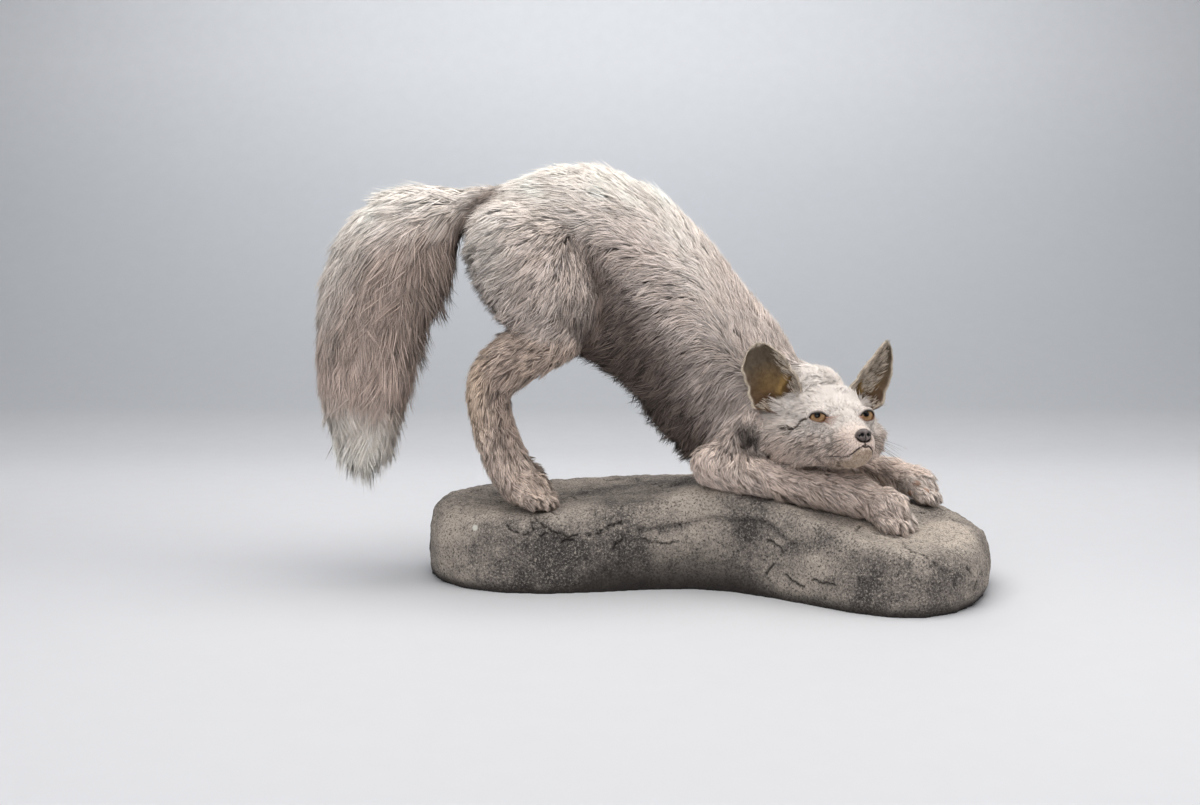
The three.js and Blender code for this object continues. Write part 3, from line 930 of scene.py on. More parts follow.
def on_ground(ground, points, height):
    """The points brought to a height over the ground, the ground's normal there, and its face."""
    found = [ground.tree.find_nearest(p)[:3] for p in points.tolist()]
    at, normal, face = (np.array([f[i] for f in found]) for i in range(3))
    return at + normal * np.reshape(height, (-1, 1)), normal, face


# The dark line behind each eye, on the skin; the left one is half as long.
EYE_LINES = {}
for side, count in ((-1, 60), (1, 30)):
    streak = from_head(curve_through(EYE_STREAK, 60) * (1, side, 1))
    EYE_LINES[side] = on_ground(body, streak, np.zeros(60))[0][:count]

# ------------------------------------------------------------------ lie of the coat

# Side view of the body and hind legs: x, z and the way the hair points, in degrees from forward.
LIE_BODY = [
    (-86, 459, 190), (-43, 467, 178), (22, 451, 160), (87, 384, 132), (131, 314, 122),
    (158, 265, 118), (-76, 411, 200), (-22, 414, 172), (43, 389, 160), (98, 325, 185),
    (0, 360, 262), (44, 330, 205), (87, 276, 222), (131, 232, 235), (159, 199, 240),
    (22, 286, 215), (55, 243, 225), (99, 199, 235), (137, 166, 245), (0, 265, 215),
    (44, 215, 218), (82, 171, 225), (105, 133, 238), (-130, 389, 205), (-133, 346, 215),
    (-98, 373, 213), (-60, 384, 206), (-27, 373, 283), (-76, 330, 235), (-44, 319, 246),
    (-13, 308, 262), (-109, 319, 225), (-44, 281, 235), (-87, 270, 208), (-111, 245, 225),
    (-60, 265, 215), (-137, 221, 262), (-115, 210, 270), (-126, 177, 280), (-104, 166, 283),
    (-99, 133, 285), (-77, 110, 300), (-57, 97, 305),
]
LIE_TAIL = [
    (-125, 434, 188), (-176, 437, 198), (-226, 423, 215), (-271, 398, 235), (-293, 357, 252),
    (-310, 296, 263), (-313, 207, 271), (-306, 151, 282), (-267, 117, 270), (-188, 360, 262),
    (-159, 390, 262), (-164, 330, 288), (-187, 274, 288), (-207, 207, 278), (-221, 157, 258),
    (-244, 319, 262), (-256, 230, 268),
]
LIE_ARM = [
    (208, 190, 250), (180, 150, 290), (140, 150, 250), (130, 125, 320), (165, 128, 322),
    (205, 120, 330), (250, 112, 328), (285, 108, 322), (305, 100, 312), (325, 92, 300),
    (335, 120, 335), (370, 110, 320), (385, 104, 305),
]
# Head's axes, right side: place, and the way the hair points.
LIE_HEAD = [
    ((45, 0, -12), (-1, 0, 0.1)), ((64, -6, -30), (-0.7, -0.5, -0.5)),
    ((50, -14, -28), (-1, -0.2, -0.12)), ((58, -10, -40), (-0.9, -0.3, -0.3)),
    ((20, -28, -22), (-0.8, -0.4, -0.45)), ((-5, -44, -35), (-0.7, -0.5, -0.6)),
    ((-36, -66, -23), (-0.6, -0.5, -0.65)), ((-30, -55, -5), (-0.8, -0.5, -0.3)),
    ((-25, -42, 8), (-1, -0.4, 0.05)), ((10, 0, 6), (-0.95, 0, 0.3)),
    ((5, -24, 10), (-0.85, -0.25, 0.4)), ((-15, 0, 18), (-1, 0, 0.25)),
    ((-40, -8, 28), (-1, 0, 0.1)), ((20, -12, -58), (-1, -0.1, -0.2)),
    ((60, 0, -54), (-0.7, 0, -0.6)), ((-80, 0, 0), (-1, 0, -0.3)),
    ((-45, -30, 30), (-0.6, -0.3, 0.7)), ((-60, -58, 8), (-0.4, -0.6, 0.1)),
]


def from_guides(points, places, ways, reach=10.0):
    """Blend of the guides round each point, the near ones counting most."""
    out = np.zeros((len(points), 3))
    for at, way in zip(np.array(places, float), np.array(ways, float)):
        away = ((points[:, : len(at)] - at) ** 2).sum(1)
        out += way / (away[:, None] + reach**2) ** 2
    return unit(out)


def side_view(points, table):
    """The way at each point by a table of the side view."""
    flat = points[:, (0, 2)]
    ways = [(math.cos(math.radians(a)), 0, math.sin(math.radians(a))) for _, _, a in table]
    return from_guides(flat, [(x, z) for x, z, _ in table], ways)


def lie_of(ground):
    """The way the hair lies at each point, from the guides of its region."""
    points, region = ground.points, ground.region
    way = side_view(points, LIE_BODY)
    tail, arm = among(region, "tail"), among(region, "upper_arm", "forearm", "forepaw")
    way[tail] = side_view(points[tail], LIE_TAIL)
    # the brush opens a little as it falls, and closes again at its tip
    _, across, z = points[tail].T
    open_out = 0.16 * smoothstep(160, 230, z) - 0.26 * smoothstep(205, 150, z)
    way[tail, 1] += open_out * np.sign(across) * smoothstep(3, 30, np.abs(across))
    way[arm] = side_view(points[arm], LIE_ARM)
    head = among(region, "head")
    h = to_head(points[head])
    mirror = np.where(h[:, 1:2] > 0, -1.0, 1.0)
    h[:, 1:2] *= mirror
    guided = from_guides(h, *zip(*LIE_HEAD), 6.0)
    guided[:, 1:2] *= mirror
    way[head] = guided @ HEAD_AXES.T
    for name in FEET:
        q = in_foot(points, name)
        toes = (np.linalg.norm(q / np.array(FEET[name][3:]), axis=1) < 1.25) & (q[:, 0] > -4)
        fanned = np.array((1, 0, -0.35)) + (0, 1, 0) * (q[toes, 1:2] * 0.012)
        way[toes] = fanned @ foot_axes(name).T
    way = unit(ground.soft(way, 8))
    flat = ground.along(way)
    # at the end of the brush the hair runs straight out of the skin
    out = smoothstep(0.15, 0.6, (way * ground.normals).sum(1)) * tail
    out = out * smoothstep(230, 190, points[:, 2])
    return unit(flat + (way - flat) * out[:, None])


body.way = lie_of(body)

# ------------------------------------------------------------------ colour of skin and coat


# Smoky blotches of the cheek, in the head's axes (left side): middle, reach and strength.
BLOTCHES = [((10, 34, -24), (13, 9, 6), 0.75), ((-1, 43, -31), (12, 8, 6), 0.65),
            ((-30, 64, -20), (9, 9, 6), 0.6), ((-14, 50, -36), (10, 8, 5), 0.5),
            ((30, 18, -30), (9, 6, 6), 0.3)]


def clefts_at(points):
    """How near each point lies to a cleft between two toes, from 0 to 1."""
    out = np.zeros(len(points))
    for name, (_, _, _, long, wide, deep) in FEET.items():
        q = in_foot(points, name)
        here = (np.abs(q) < (long * 1.7, wide * 1.4, deep * 1.3)).all(1)
        here = here * smoothstep(0.2, 0.7, q[:, 0] / long)
        out = np.maximum(out, here * bell(beside_toe(q[:, 1], wide) / 0.14))
    return out


def body_colour(ground):
    """Colour of body, legs and feet at each point, with painted shade low on the flank, underneath, in
    the fold before the thigh, at the tail's root, behind the cheek and between the toes.
    """
    points, region = ground.points, ground.region
    x, y, z = points.T
    torso = among(region, "trunk", "neck", "thigh")
    thigh = among(region, "thigh")
    back = from_line(points, BACK_LINE)
    colour = np.tile(FLANK, (len(points), 1))
    # Painted shade: darker away from the back line, down the flank, and a little towards the chest.
    colour = blend(colour, LOW_FLANK_SHADE, smoothstep(56, 100, back))
    colour = blend(colour, LOW_FLANK_SHADE, 0.2 * smoothstep(90, 150, x))
    colour = np.where(thigh[:, None], THIGH, colour)
    width = 36 + 40 * smoothstep(70, -45, x)
    cream = (1 - smoothstep(0.3, 1.35, back / width)) * (1 - 0.88 * smoothstep(70, 150, x))
    rump = smoothstep(-70, -125, x) * smoothstep(285, 375, z)
    colour = blend(colour, CREAM, np.maximum(cream, 0.85 * rump) * torso)
    # Underside, where the skin faces down: partly dark belly fur, partly painted shade; the rear of the
    # thigh is spared.
    low = smoothstep(0.22, -0.55, ground.normals[:, 2]) * torso
    low *= 1 - 0.93 * thigh * smoothstep(-30, -60, x)
    colour = blend(colour, BELLY_FUR_AND_SHADE, 0.93 * low)
    # Painted shade in the fold before the thigh.
    fold = bell(from_line(points, FOLD) / 12) * (np.abs(y) > 20)
    colour = blend(colour, SMOKE, 0.7 * fold * torso)
    # Partly dark fur, partly painted shade of the notch at the tail's root.
    streak = bell(from_line(points, TAIL_STREAK) / 11) * smoothstep(-92, -106, x)
    colour = blend(colour, SMOKE * 0.8, 0.95 * streak)
    crown = 1 - smoothstep(18, 56, how_far(to_head(points), CROWN))
    colour = blend(colour, WHITE * 1.04, crown * torso)
    colour = np.where(among(region, "forearm", "forepaw")[:, None], TAN, colour)
    colour = np.where(among(region, "shank", "metatarsus", "hindfoot")[:, None], LEG, colour)
    colour = blend(colour, TAN, 0.4 * among(region, "upper_arm"))
    hock = among(region, "shank", "metatarsus") & (z < 260)
    colour = blend(colour, WARM, smoothstep(-112, -140, x) * hock)
    colour = blend(colour, TAN, 0.45 * smoothstep(200, 150, z) * hock)
    colour = blend(colour, SMOKE, 0.55 * bell(from_line(points, LEG_STREAK) / 12) * hock)
    # Painted shade in the hollow behind the cheek.
    gap = how_far(points - NECK_GAP, (0, 0, 5), (21, 34, 22))
    colour = blend(colour, SMOKE * 0.1, np.exp(-(gap**4)) * ~among(region, "head"))
    toes = among(region, "forepaw", "hindfoot") & (z < 120)
    colour = blend(colour, CREAM, np.where(x > 325, 0.45, 0.12) * toes)
    # Painted shade in the clefts between the toes.
    return blend(colour, SMOKE * 0.5, 0.85 * clefts_at(points))


def brush_colour(points):
    """Colour of the brush at each point: pale outside, dark by the body, dark fur and painted shade along
    the notch at its root, white at the tip.
    """
    x, _, z = points.T
    outer = 1 - smoothstep(8, 62, from_line(points, TAIL_OUTER))
    brush = blend(np.tile(BRUSH, (len(points), 1)), CREAM, outer * smoothstep(230, 400, z))
    # Dark fur and painted shade along the notch at the tail's root.
    brush = blend(brush, SMOKE * 0.8, 0.9 * bell(from_line(points, TAIL_STREAK) / 12))
    brush = blend(brush, SMOKE, 0.5 * bell(from_line(points, TAIL_INNER) / 20))
    brush = blend(brush, BRUSH * 1.5, 0.8 * smoothstep(300, 240, z))
    return blend(brush, BRUSH_TIP, smoothstep(232, 180, z + 0.25 * (x + 265)))


def face_colour(points):
    """Colour of the head at each point. The rims of the lids are nearly black, and the corners pink."""
    heads = to_head(points)
    x, y, z = heads.T
    y = np.abs(y)
    face = np.tile(WHITE, (len(points), 1))
    face = blend(face, MUZZLE, smoothstep(2, -22, z + 0.12 * x) * smoothstep(28, 46, x))
    face = blend(face, CHEEK, 0.68 * (smoothstep(-3, -38, z + 0.12 * x) * smoothstep(64, 34, x)))
    face = blend(face, CHEEK, 0.25 * (smoothstep(34, 60, y) * smoothstep(-2, -26, x)))
    for at, reach, strong in BLOTCHES:
        away = (((np.stack((x, y, z), 1) - at) / reach) ** 2).sum(1)
        face = blend(face, SMOKE, 0.8 * strong * np.exp(-away))
    lip = 9 * smoothstep(66, 52, x)
    jaw = smoothstep(-37 - lip, -42 - lip, z)
    face = blend(face, CHIN, 0.9 * jaw * smoothstep(-10, 20, x))
    _, streak = nearest_of(np.vstack(list(EYE_LINES.values())), points)
    face = blend(face, SMOKE * 0.5, 0.8 * bell(streak / 0.7))
    face = blend(face, BLACK_RIM, smoothstep(1.05, 0.85, how_far(heads, NOSE_SEAT, (9, 10, 9))))
    for side, _ in SIDES:
        out, up = from_lids(heads, side)
        upper = smoothstep(-0.25, 0.15, up)
        rim = 1 - smoothstep(0.8, 1.2, out / (0.2 + 0.5 * upper))
        near = (how_far(heads, eyeball_at(side)) < EYEBALL + 6) & (rim > 0)
        shade = BLACK_RIM + (PINK * 0.5 - BLACK_RIM) * (1 - upper)[:, None]
        face = blend(face, shade, rim * near)
        corner = how_far(heads, eyeball_at(side) + (10.2, 6.6 * -side, -0.9))
        face = blend(face, PINK, 0.8 * (1 - smoothstep(1.2, 3.0, corner)))
    return face


def coat_colour(ground):
    """The pale coat's colour at each point, with a soft mottle over it."""
    points, region = ground.points, ground.region
    tail, head = among(region, "tail"), among(region, "head")
    colour = np.where(tail[:, None], brush_colour(points), body_colour(ground))
    colour = np.where(head[:, None], face_colour(points), colour)
    mottle = np.array([noise.noise(Vector(p) * 0.05) for p in points.tolist()])
    calm = 1 - 0.7 * tail * smoothstep(230, 190, points[:, 2])
    return np.clip(colour * (1 + mottle * np.where(head, 0.06, 0.24) * calm)[:, None], 0.01, 0.95)


body.tint = coat_colour(body)


def fur_finish(name, grain, roughness=0.75):
    """Hair: its tone comes with each lock, and a fine grain runs over it."""
    f = Finish(name, roughness, Sheen_Weight=0.12, Sheen_Roughness=0.5,
               Sheen_Tint=(1.0, 0.90, 0.80, 1.0), Specular_IOR_Level=0.25)
    fine = f.span(f.noise(grain, 3, 0.6), 0.3, 0.7, 0.24, 0.0)
    broad = f.span(f.noise(38), 0.35, 0.75, 0.0, 0.13)
    worn = f.mix(fine, f.tint(), (0.30, 0.26, 0.23), "MULTIPLY")
    f.set("Base Color", f.mix(broad, worn, (0.62, 0.50, 0.40), "MULTIPLY"))
    f.set("Normal", f.bump(f.noise(grain * 1.6, 2), 0.25, 0.0004))
    return f.material


long_hair = fur_finish("long_hair", 900)
short_hair = fur_finish("short_hair", 1500)
face_hair = fur_finish("face_hair", 2000, 0.7)


def skin_finish():
    """Underfur: dark at the root of the coat, with short streaks."""
    f = Finish("underfur", 0.85, Specular_IOR_Level=0.2)
    streak = f.noise(700, 4, 0.7, vector=f.squeezed((1, 1, 0.25)))
    dark = f.span(streak, 0.35, 0.7, 0.75, 0.2)
    f.set("Base Color", f.mix(dark, f.tint(), (0.30, 0.25, 0.22), "MULTIPLY"))
    f.set("Normal", f.bump(streak, 0.6, 0.0012))
    return f.material


refinish(skin, skin_finish())
paint(skin, "coat_tint", body.tint)
hand_over(skin, "coat_fur", *FLESH)

# ------------------------------------------------------------------ coat

BURY = 1.2  # how deep a lock is rooted
PATCH = 0.003  # width of a lock's patch on its map
RING_AT = 0.42  # where along a lock its ring lies
# A lock's five corners (root, ring, tip): its faces, where each lies on its patch, and its station.
LOCK_FACES = np.array(((0, 1, 2), (0, 2, 3), (0, 3, 1), (2, 1, 4), (3, 2, 4), (1, 3, 4)))
LOCK_PATCH = np.array(((0.5, 0.0), (0.0, 0.5), (1.0, 0.5), (0.5, 0.5), (0.5, 1.0)))
LOCK_STATION = (0, 1, 1, 1, 2)
BRIGHTEST = 0.96  # no channel of a lock's colour goes over it
LOCK_SHADES = (0.55, 0.97, 1.10)  # darker at the root, paler at the tip
LOCK_HUE = (1.0, 0.2, -1.0)  # warmer or cooler by chance
LEADER_REACH = 9  # a lock further than this from its leader stands alone, in millimetres


def unwrap(roots):
    """A sleeve's unwrap of the skin under a piece of coat: round its long axis, and along it."""
    centre = roots.mean(0)
    _, axes = np.linalg.eigh(np.cov((roots - centre).T))
    q = (roots - centre) @ axes[:, ::-1]
    around = np.arctan2(q[:, 2], q[:, 1]) / (2 * math.pi) + 0.5
    low, high = q[:, 0].min(), q[:, 0].max()
    along = (q[:, 0] - low) / (high - low)
    return 0.01 + 0.975 * np.stack((around, along), 1)


def make_locks(name, spine, side, up, half, tint, shade, material):
    """Locks as closed three-sided spindles: a root, one ring and a tip, the stations of spine. half is
    the ring's half-width, and shade the tone at each station."""
    count = len(spine)
    points = np.empty((count, 5, 3))
    normal = np.empty((count, 5, 3))
    points[:, 0], points[:, 4] = spine[:, 0], spine[:, 2]
    normal[:, 0] = normal[:, 3] = normal[:, 4] = up
    for i, (aside, over) in enumerate(((-1, 0), (1, 0), (0, 0.8)), 1):
        points[:, i] = spine[:, 1] + (side * aside + up * over) * half[:, None]
    normal[:, 1], normal[:, 2] = unit(up - 0.6 * side), unit(up + 0.6 * side)
    index = (np.arange(count)[:, None, None] * 5 + LOCK_FACES).reshape(-1, 3)
    mesh = bpy.data.meshes.new(name)
    mesh.vertices.add(count * 5)
    mesh.vertices.foreach_set("co", place(points.reshape(-1, 3)).astype(np.float32).ravel())
    mesh.loops.add(index.size)
    mesh.loops.foreach_set("vertex_index", index.ravel().astype(np.int32))
    mesh.polygons.add(len(index))
    mesh.polygons.foreach_set("loop_start", np.arange(0, index.size, 3, dtype=np.int32))
    mesh.polygons.foreach_set("use_smooth", np.ones(len(index), bool))
    mesh.update(calc_edges=True)
    layer = mesh.uv_layers.new(name="OFBake")
    on_map = unwrap(spine[:, 0])[:, None, :] + PATCH * LOCK_PATCH
    layer.data.foreach_set("uv", on_map.reshape(-1, 2)[index.ravel()].astype(np.float32).ravel())
    mesh.normals_split_custom_set_from_vertices(normal.reshape(-1, 3).tolist())
    obj = bpy.data.objects.new(name, mesh)
    bpy.context.scene.collection.objects.link(obj)
    mesh.materials.append(material)
    tone = tint[:, None, :] * shade[:, LOCK_STATION, None]
    tone *= np.minimum(1, BRIGHTEST / tone.max(2))[:, :, None]
    paint(obj, "coat_tint", tone.reshape(-1, 3))
    return obj


def scatter(ground, weights, count, rng):
    """Random roots on the ground, as triangles and shares of their corners."""
    chance = np.cumsum(weights)
    chosen = np.searchsorted(chance, rng.random(count) * chance[-1])
    a, b = rng.random((2, count))
    over = a + b > 1
    a[over], b[over] = 1 - a[over], 1 - b[over]
    return ground.tri[chosen], np.stack((1 - a - b, a, b), 1)


def spread(values, corners, shares):
    """What the ground's values come to at each root."""
    return (values[corners] * (shares[..., None] if values.ndim > 1 else shares)).sum(1)


def grow_coat(name, ground, mask, count, material, slot, seed, tone=0.2, lift=(0.45, 1.05), clump=0.45,
              bunch=11, fly=0.05, ruffle=0.17):
    """One piece of coat, as locks rooted all over the masked part of the ground. tone is how much
    their tones differ, lift how high they stand, clump how hard each leans to its leader (one lock in
    every bunch is a leader), fly the share of stray locks, and ruffle how much the bunches turn."""
    rng = np.random.default_rng(SEED + seed)
    corners, shares = scatter(ground, ground.areas * mask[ground.tri].mean(1), count, rng)

    def at_roots(values):
        return spread(values, corners, shares)

    root = at_roots(ground.points)
    normal, way, face = (unit(at_roots(v)) for v in (ground.normals, ground.way, ground.face))
    depth = np.maximum(at_roots(ground.depth), 0.4)
    length = at_roots(ground.length) * rng.uniform(0.62, 1.2, count)
    half = at_roots(ground.half) * rng.uniform(0.7, 1.3, count)
    free, streak, tint = (at_roots(v) for v in (ground.free, ground.streak, ground.tint))
    leaders = rng.choice(count, max(1, count // bunch), replace=False)
    leader, gap = nearest_of(root[leaders], root)
    leader = leaders[leader]
    side = np.cross(way, normal)
    bend = rng.normal(0, 0.15, count) + rng.normal(0, ruffle, count)[leader]
    way = unit(way + side * bend[:, None])
    stray = rng.random(count) < fly
    half = np.where(stray, 0.5 * half, half)
    height = depth * rng.uniform(*lift, count)
    height = height + stray * rng.uniform(0.1, 1.0, count) * np.minimum(0.3 * length, 7)
    tidy = 1 - at_roots(ground.end)
    outward = (face - normal) * np.clip(free, 0, 1)[:, None]
    spine = np.empty((count, 3, 3))
    spine[:, 0] = root - normal * np.minimum(BURY, 0.3 + depth)[:, None]
    stations = ((1, RING_AT), (2, 1.0))
    for s, step in stations:
        arch = height * (1 - (1 - step) ** 1.7)
        reach = root + way * (length * step)[:, None]
        laid, up_here, face_here = on_ground(ground, reach, arch)
        straight = reach + unit(normal + outward) * (arch * tidy)[:, None]
        loose = np.clip(free + 0.6 * stray, 0, 1)[:, None]
        spine[:, s] = laid + (straight - laid) * loose
        if s == 1:
            tint = 0.25 * tint + 0.75 * ground.tint[ground.tri[face_here]].mean(1)
            up = unit(up_here + 0.3 * normal)
            up = unit(up + (face - up) * np.clip(free, 0, 1)[:, None])
    pull = clump * rng.uniform(0.5, 1.2, count) * (gap < LEADER_REACH)
    for s, step in stations:
        aim = spine[leader, s] + (root - root[leader]) * 0.25
        spine[:, s] += (aim - spine[:, s]) * (pull * step)[:, None]
    side = unit(np.cross(spine[:, 2] - spine[:, 0], up))
    level = 1 + tone * streak * (rng.normal(0, 0.8, count) + rng.normal(0, 0.6, count)[leader])
    dark = rng.random(count) < 0.10 * streak
    level = np.clip(np.where(dark, level * 0.66, level), 0.3, 1.45)
    shade = level[:, None] * LOCK_SHADES
    warm = rng.normal(0, 0.014, count)[:, None] * LOCK_HUE
    tint = np.clip(tint * (1 + warm), 0.01, 1)
    hand_over(make_locks(name, spine, side, up, half, tint, shade, material), slot)


def region_mask(*names):
    return among(body.region, *names).astype(float)


def changed(ground, **fields):
    """The ground with some of its fields changed, each to one value or to one at each point."""
    other = copy.copy(ground)
    for key, value in fields.items():
        setattr(other, key, np.broadcast_to(np.asarray(value, float), getattr(ground, key).shape))
    return other


X, Y, Z = body.points.T
heads = to_head(body.points)
in_face = region_mask("head") > 0
from_nose = how_far(heads, NOSE_SEAT)
from_eye = np.full(len(X), 99.0)
for side, _ in SIDES:
    near = how_far(heads, eyeball_at(side)) < 30
    from_eye = np.where(near, np.minimum(from_eye, from_lids(heads, side)[0]), from_eye)
_, from_mouth = nearest_of(mouth_line(), heads)
ruff = smoothstep(30, 56, np.abs(heads[:, 1]))
face_length = 3.2 + 12.0 * smoothstep(16, 74, from_nose) + 8.0 * ruff
face_length = np.minimum(face_length, 1.8 + 0.6 * np.maximum(from_eye, 0))
face_length = np.minimum(face_length, 1.5 + 0.9 * from_mouth)
body.length = body.soft(built(body.region, LENGTH), 12)
body.length = body.soft(np.where(in_face, face_length, body.length), 4)
body.half = body.soft(built(body.region, HALF), 12)

# the brush: slim at its root, and its end's locks drop straight off it
brush = region_mask("tail")
slim, tail_tip = smoothstep(-130, -185, X), smoothstep(230, 150, Z)
body.length = np.where(brush > 0, 20 + (body.length - 20) * slim + 22 * tail_tip, body.length)
body.half = np.where(brush > 0, body.half * (1 - 0.25 * tail_tip), body.half)
end = brush * smoothstep(262, 200, Z)
body.end = 0.8 * end
out_of_tail = unit(np.stack((X + 269, Y, np.zeros(len(X))), 1)) + (0, 0, 0.9)
body.face = unit(body.normals * (1 - 0.8 * end[:, None]) + out_of_tail * end[:, None])
belly = region_mask("trunk", "thigh") * smoothstep(-0.25, -0.75, body.normals[:, 2])
body.free = 0.15 + 0.85 * brush * smoothstep(262, 200, Z)
body.free += 0.35 * body.soft(belly, 6) + 0.4 * in_face * ruff
grey_cheek = smoothstep(-6, -22, heads[:, 2] + 0.12 * heads[:, 0]) * smoothstep(50, 30, heads[:, 0])
body.streak = np.where(in_face, 0.3 + 2.4 * grey_cheek, 1.0)
flank = region_mask("trunk", "thigh", "neck", "upper_arm")
flank = flank * smoothstep(20, 80, from_line(body.points, BACK_LINE))
body.streak += 1.2 * flank - 0.75 * end

right = (Y < 0).astype(float)
fore = smoothstep(55, 56, X)
trunk = region_mask("trunk", "neck", "thigh", "upper_arm")
for name, mask, count in (
    ("coat_right_rear", trunk * right * (1 - fore), 30000),
    ("coat_right_front", trunk * right * fore, 26000),
    ("coat_left_rear", trunk * (1 - right) * (1 - fore), 22500),
    ("coat_left_front", trunk * (1 - right) * fore, 19000),
):
    grow_coat(name, body, mask, count, long_hair, "coat_fur", len(name), bunch=16, lift=(0.35, 1.15),
              fly=0.11, ruffle=0.22)
for name, mask, count, seed in (("coat_tail_upper", brush * (Z > 300), 22000, 5),
                                ("coat_tail_lower", brush * (Z <= 300), 24000, 6)):
    grow_coat(name, body, mask, count, long_hair, "tail_fur", seed, tone=0.3, bunch=20, clump=0.6,
              fly=0.13, ruffle=0.27)
for name, legs, count, seed, tone in (
    ("coat_hind_legs", region_mask("shank", "metatarsus", "hindfoot"), 22000, 7, 0.36),
    ("coat_forelegs", region_mask("forearm", "forepaw"), 21000, 8, 0.3),
):
    grow_coat(name, body, legs, count, short_hair, "leg_fur", seed, tone=tone, clump=0.6, lift=(0.4, 1.5),
              bunch=16, fly=0.14, ruffle=0.24)
covered = (from_nose > 9.5) & (from_eye > 1.6) & (from_mouth > 1.1)
grow_coat("coat_head", body, region_mask("head") * covered, 32000, face_hair, "face_fur", 9, tone=0.17,
          clump=0.55, bunch=15, lift=(0.4, 1.0), fly=0.07)

# long grey hair that hangs from the low cheek and the back of the jaw
low_cheek = smoothstep(22, -12, heads[:, 0]) * smoothstep(-22, -34, heads[:, 2] + 0.1 * heads[:, 0])
rear_cheek = smoothstep(-22, -48, heads[:, 0]) * smoothstep(6, -8, heads[:, 2])
under = smoothstep(0.35, -0.1, body.normals @ HEAD_AXES[:, 2])
edge = in_face * np.maximum(low_cheek, rear_cheek) * smoothstep(24, 38, np.abs(heads[:, 1]))
edge = edge * (0.15 + under)
hang = np.stack((np.full(len(X), -0.45), 0.75 * np.sign(heads[:, 1]), np.full(len(X), -0.5)), 1)
shaggy = changed(body, length=24, half=0.46, free=0.85, streak=1.6, depth=3.5, tint=body.tint * 1.12,
                 way=body.along(hang @ HEAD_AXES.T))
grow_coat("coat_ruff", shaggy, edge, 4500, face_hair, "face_fur", 21, tone=0.2, clump=0.8, bunch=20,
          lift=(0.3, 1.3))

for side, side_name in SIDES:
    line = EYE_LINES[side]
    number, away = nearest_of(line, body.points)
    inky = changed(body, length=4, half=0.22, free=0.1, tint=SMOKE * 0.35, depth=body.depth + 0.4,
                   way=body.along(np.gradient(line, axis=0)[number]))
    grow_coat(f"coat_eye_line_{side_name}", inky, 1.0 * (away < 1.1), 200, face_hair, "face_fur",
              24 + side, tone=0.1, clump=0.2, lift=(0.8, 1.15))

toes = np.zeros(len(X))
for name, (_, _, _, long, wide, deep) in FEET.items():
    q = in_foot(body.points, name)
    inside = (np.abs(q) < (long * 1.7, wide * 1.4, deep * 1.2)).all(1)
    on_top = smoothstep(-0.3, 0.6, q[:, 0] / long) * smoothstep(-0.9, -0.2, q[:, 2] / deep)
    toes = np.where(inside, on_top, toes)
tufts = changed(body, length=12, half=0.5, free=0.7, depth=body.depth + 1.2)
grow_coat("coat_toes", tufts, toes * (1 - clefts_at(body.points)), 6500, short_hair, "leg_fur", 22,
          tone=0.34, clump=0.8, bunch=18, lift=(0.4, 1.9), ruffle=0.3)

# loose hair along the belly, the back of the thighs and the inside of the brush
tail_inner = brush * smoothstep(0.1, 0.7, body.normals[:, 0]) * smoothstep(420, 380, Z)
rear_thigh = region_mask("thigh") * smoothstep(-0.2, -0.8, body.normals[:, 0])
fringe_at = np.maximum(np.maximum(belly, 0.6 * tail_inner), rear_thigh)
loose = changed(body, free=0.9, length=body.length * 1.1, half=body.half * 0.7,
                face=unit(body.normals * (1, 1, 0.8) + (0, 0, 0.2)))
grow_coat("coat_fringe", loose, fringe_at, 7500, long_hair, "coat_fur", 23, tone=0.3, clump=0.6, bunch=18,
          lift=(0.8, 1.9), ruffle=0.4)

# soft white hair that stands up between the ears
on_crown = np.exp(-(how_far(heads, (-42, 10, 40), (22, 34, 22)) ** 4)) * (region_mask("tail") < 1)
stand = np.tile(np.array((-0.45, 0, 0.9)), (len(X), 1)) + (0, 0.5, 0) * np.sign(heads[:, 1:2])
crown = changed(body, free=0.85, length=17, half=0.42, depth=4, streak=0.4, tint=WHITE * 1.12,
                way=body.along(stand @ HEAD_AXES.T), face=unit(body.normals + (0, 0, 0.8)))
grow_coat("coat_crown", crown, on_crown, 2600, face_hair, "face_fur", 26, tone=0.12, clump=0.5, bunch=14,
          lift=(0.4, 1.5), ruffle=0.3)

# ------------------------------------------------------------------ ears

EAR_BASE = np.array((-60.0, -47.0, 19.0))
EAR_TIP = np.array((-41.0, -74.0, 83.0))
EAR_ACROSS = np.array((-0.3, -1.0, -0.5))
EAR_THICK = 3.0
EAR_ROWS, EAR_COLUMNS = 60, 50
EAR_FOOT = -0.16  # how far the leaf runs on below its root, as a share of its length


def ear_axes(side):
    """An ear's root, its ways up, across and out of the cup, and its length."""
    flip = np.array((1, -side, 1))
    root = EAR_BASE * flip
    axis = EAR_TIP * flip - root
    length = np.linalg.norm(axis)
    axis /= length
    across = EAR_ACROSS * flip
    across = unit(across - axis * (across @ axis))
    facing = np.cross(across, axis)
    return root, axis, across, facing * np.sign(facing[0]), length


def ear_half_width(t, b, side):
    """Half-width of the leaf at height t, on its outer (b > 0) or inner side. The right ear is broad and
    blunt, and the left one narrow and pointed."""
    t = np.clip(t, 0, 1)
    if side < 0:
        outer, inner = 29 * (1 - t**5) ** 0.52, 27 * (1 - t**2.8) ** 0.66
    else:
        outer, inner = 22 * (1 - t**2.6) ** 0.66, 26 * (1 - t**1.3) ** 0.85
    ragged = 1 + 0.034 * np.sin(13 * t + 1.3 * side) + 0.026 * np.sin(31 * t + 2.0 * side)
    return np.maximum(2.2, np.where(b > 0, outer, inner) * ragged)


def ear_ridge(t):
    """Where across the leaf the ridge runs, at each height."""
    return -0.18 - 0.75 * np.clip((t - 0.18) / 0.3, 0, 1)


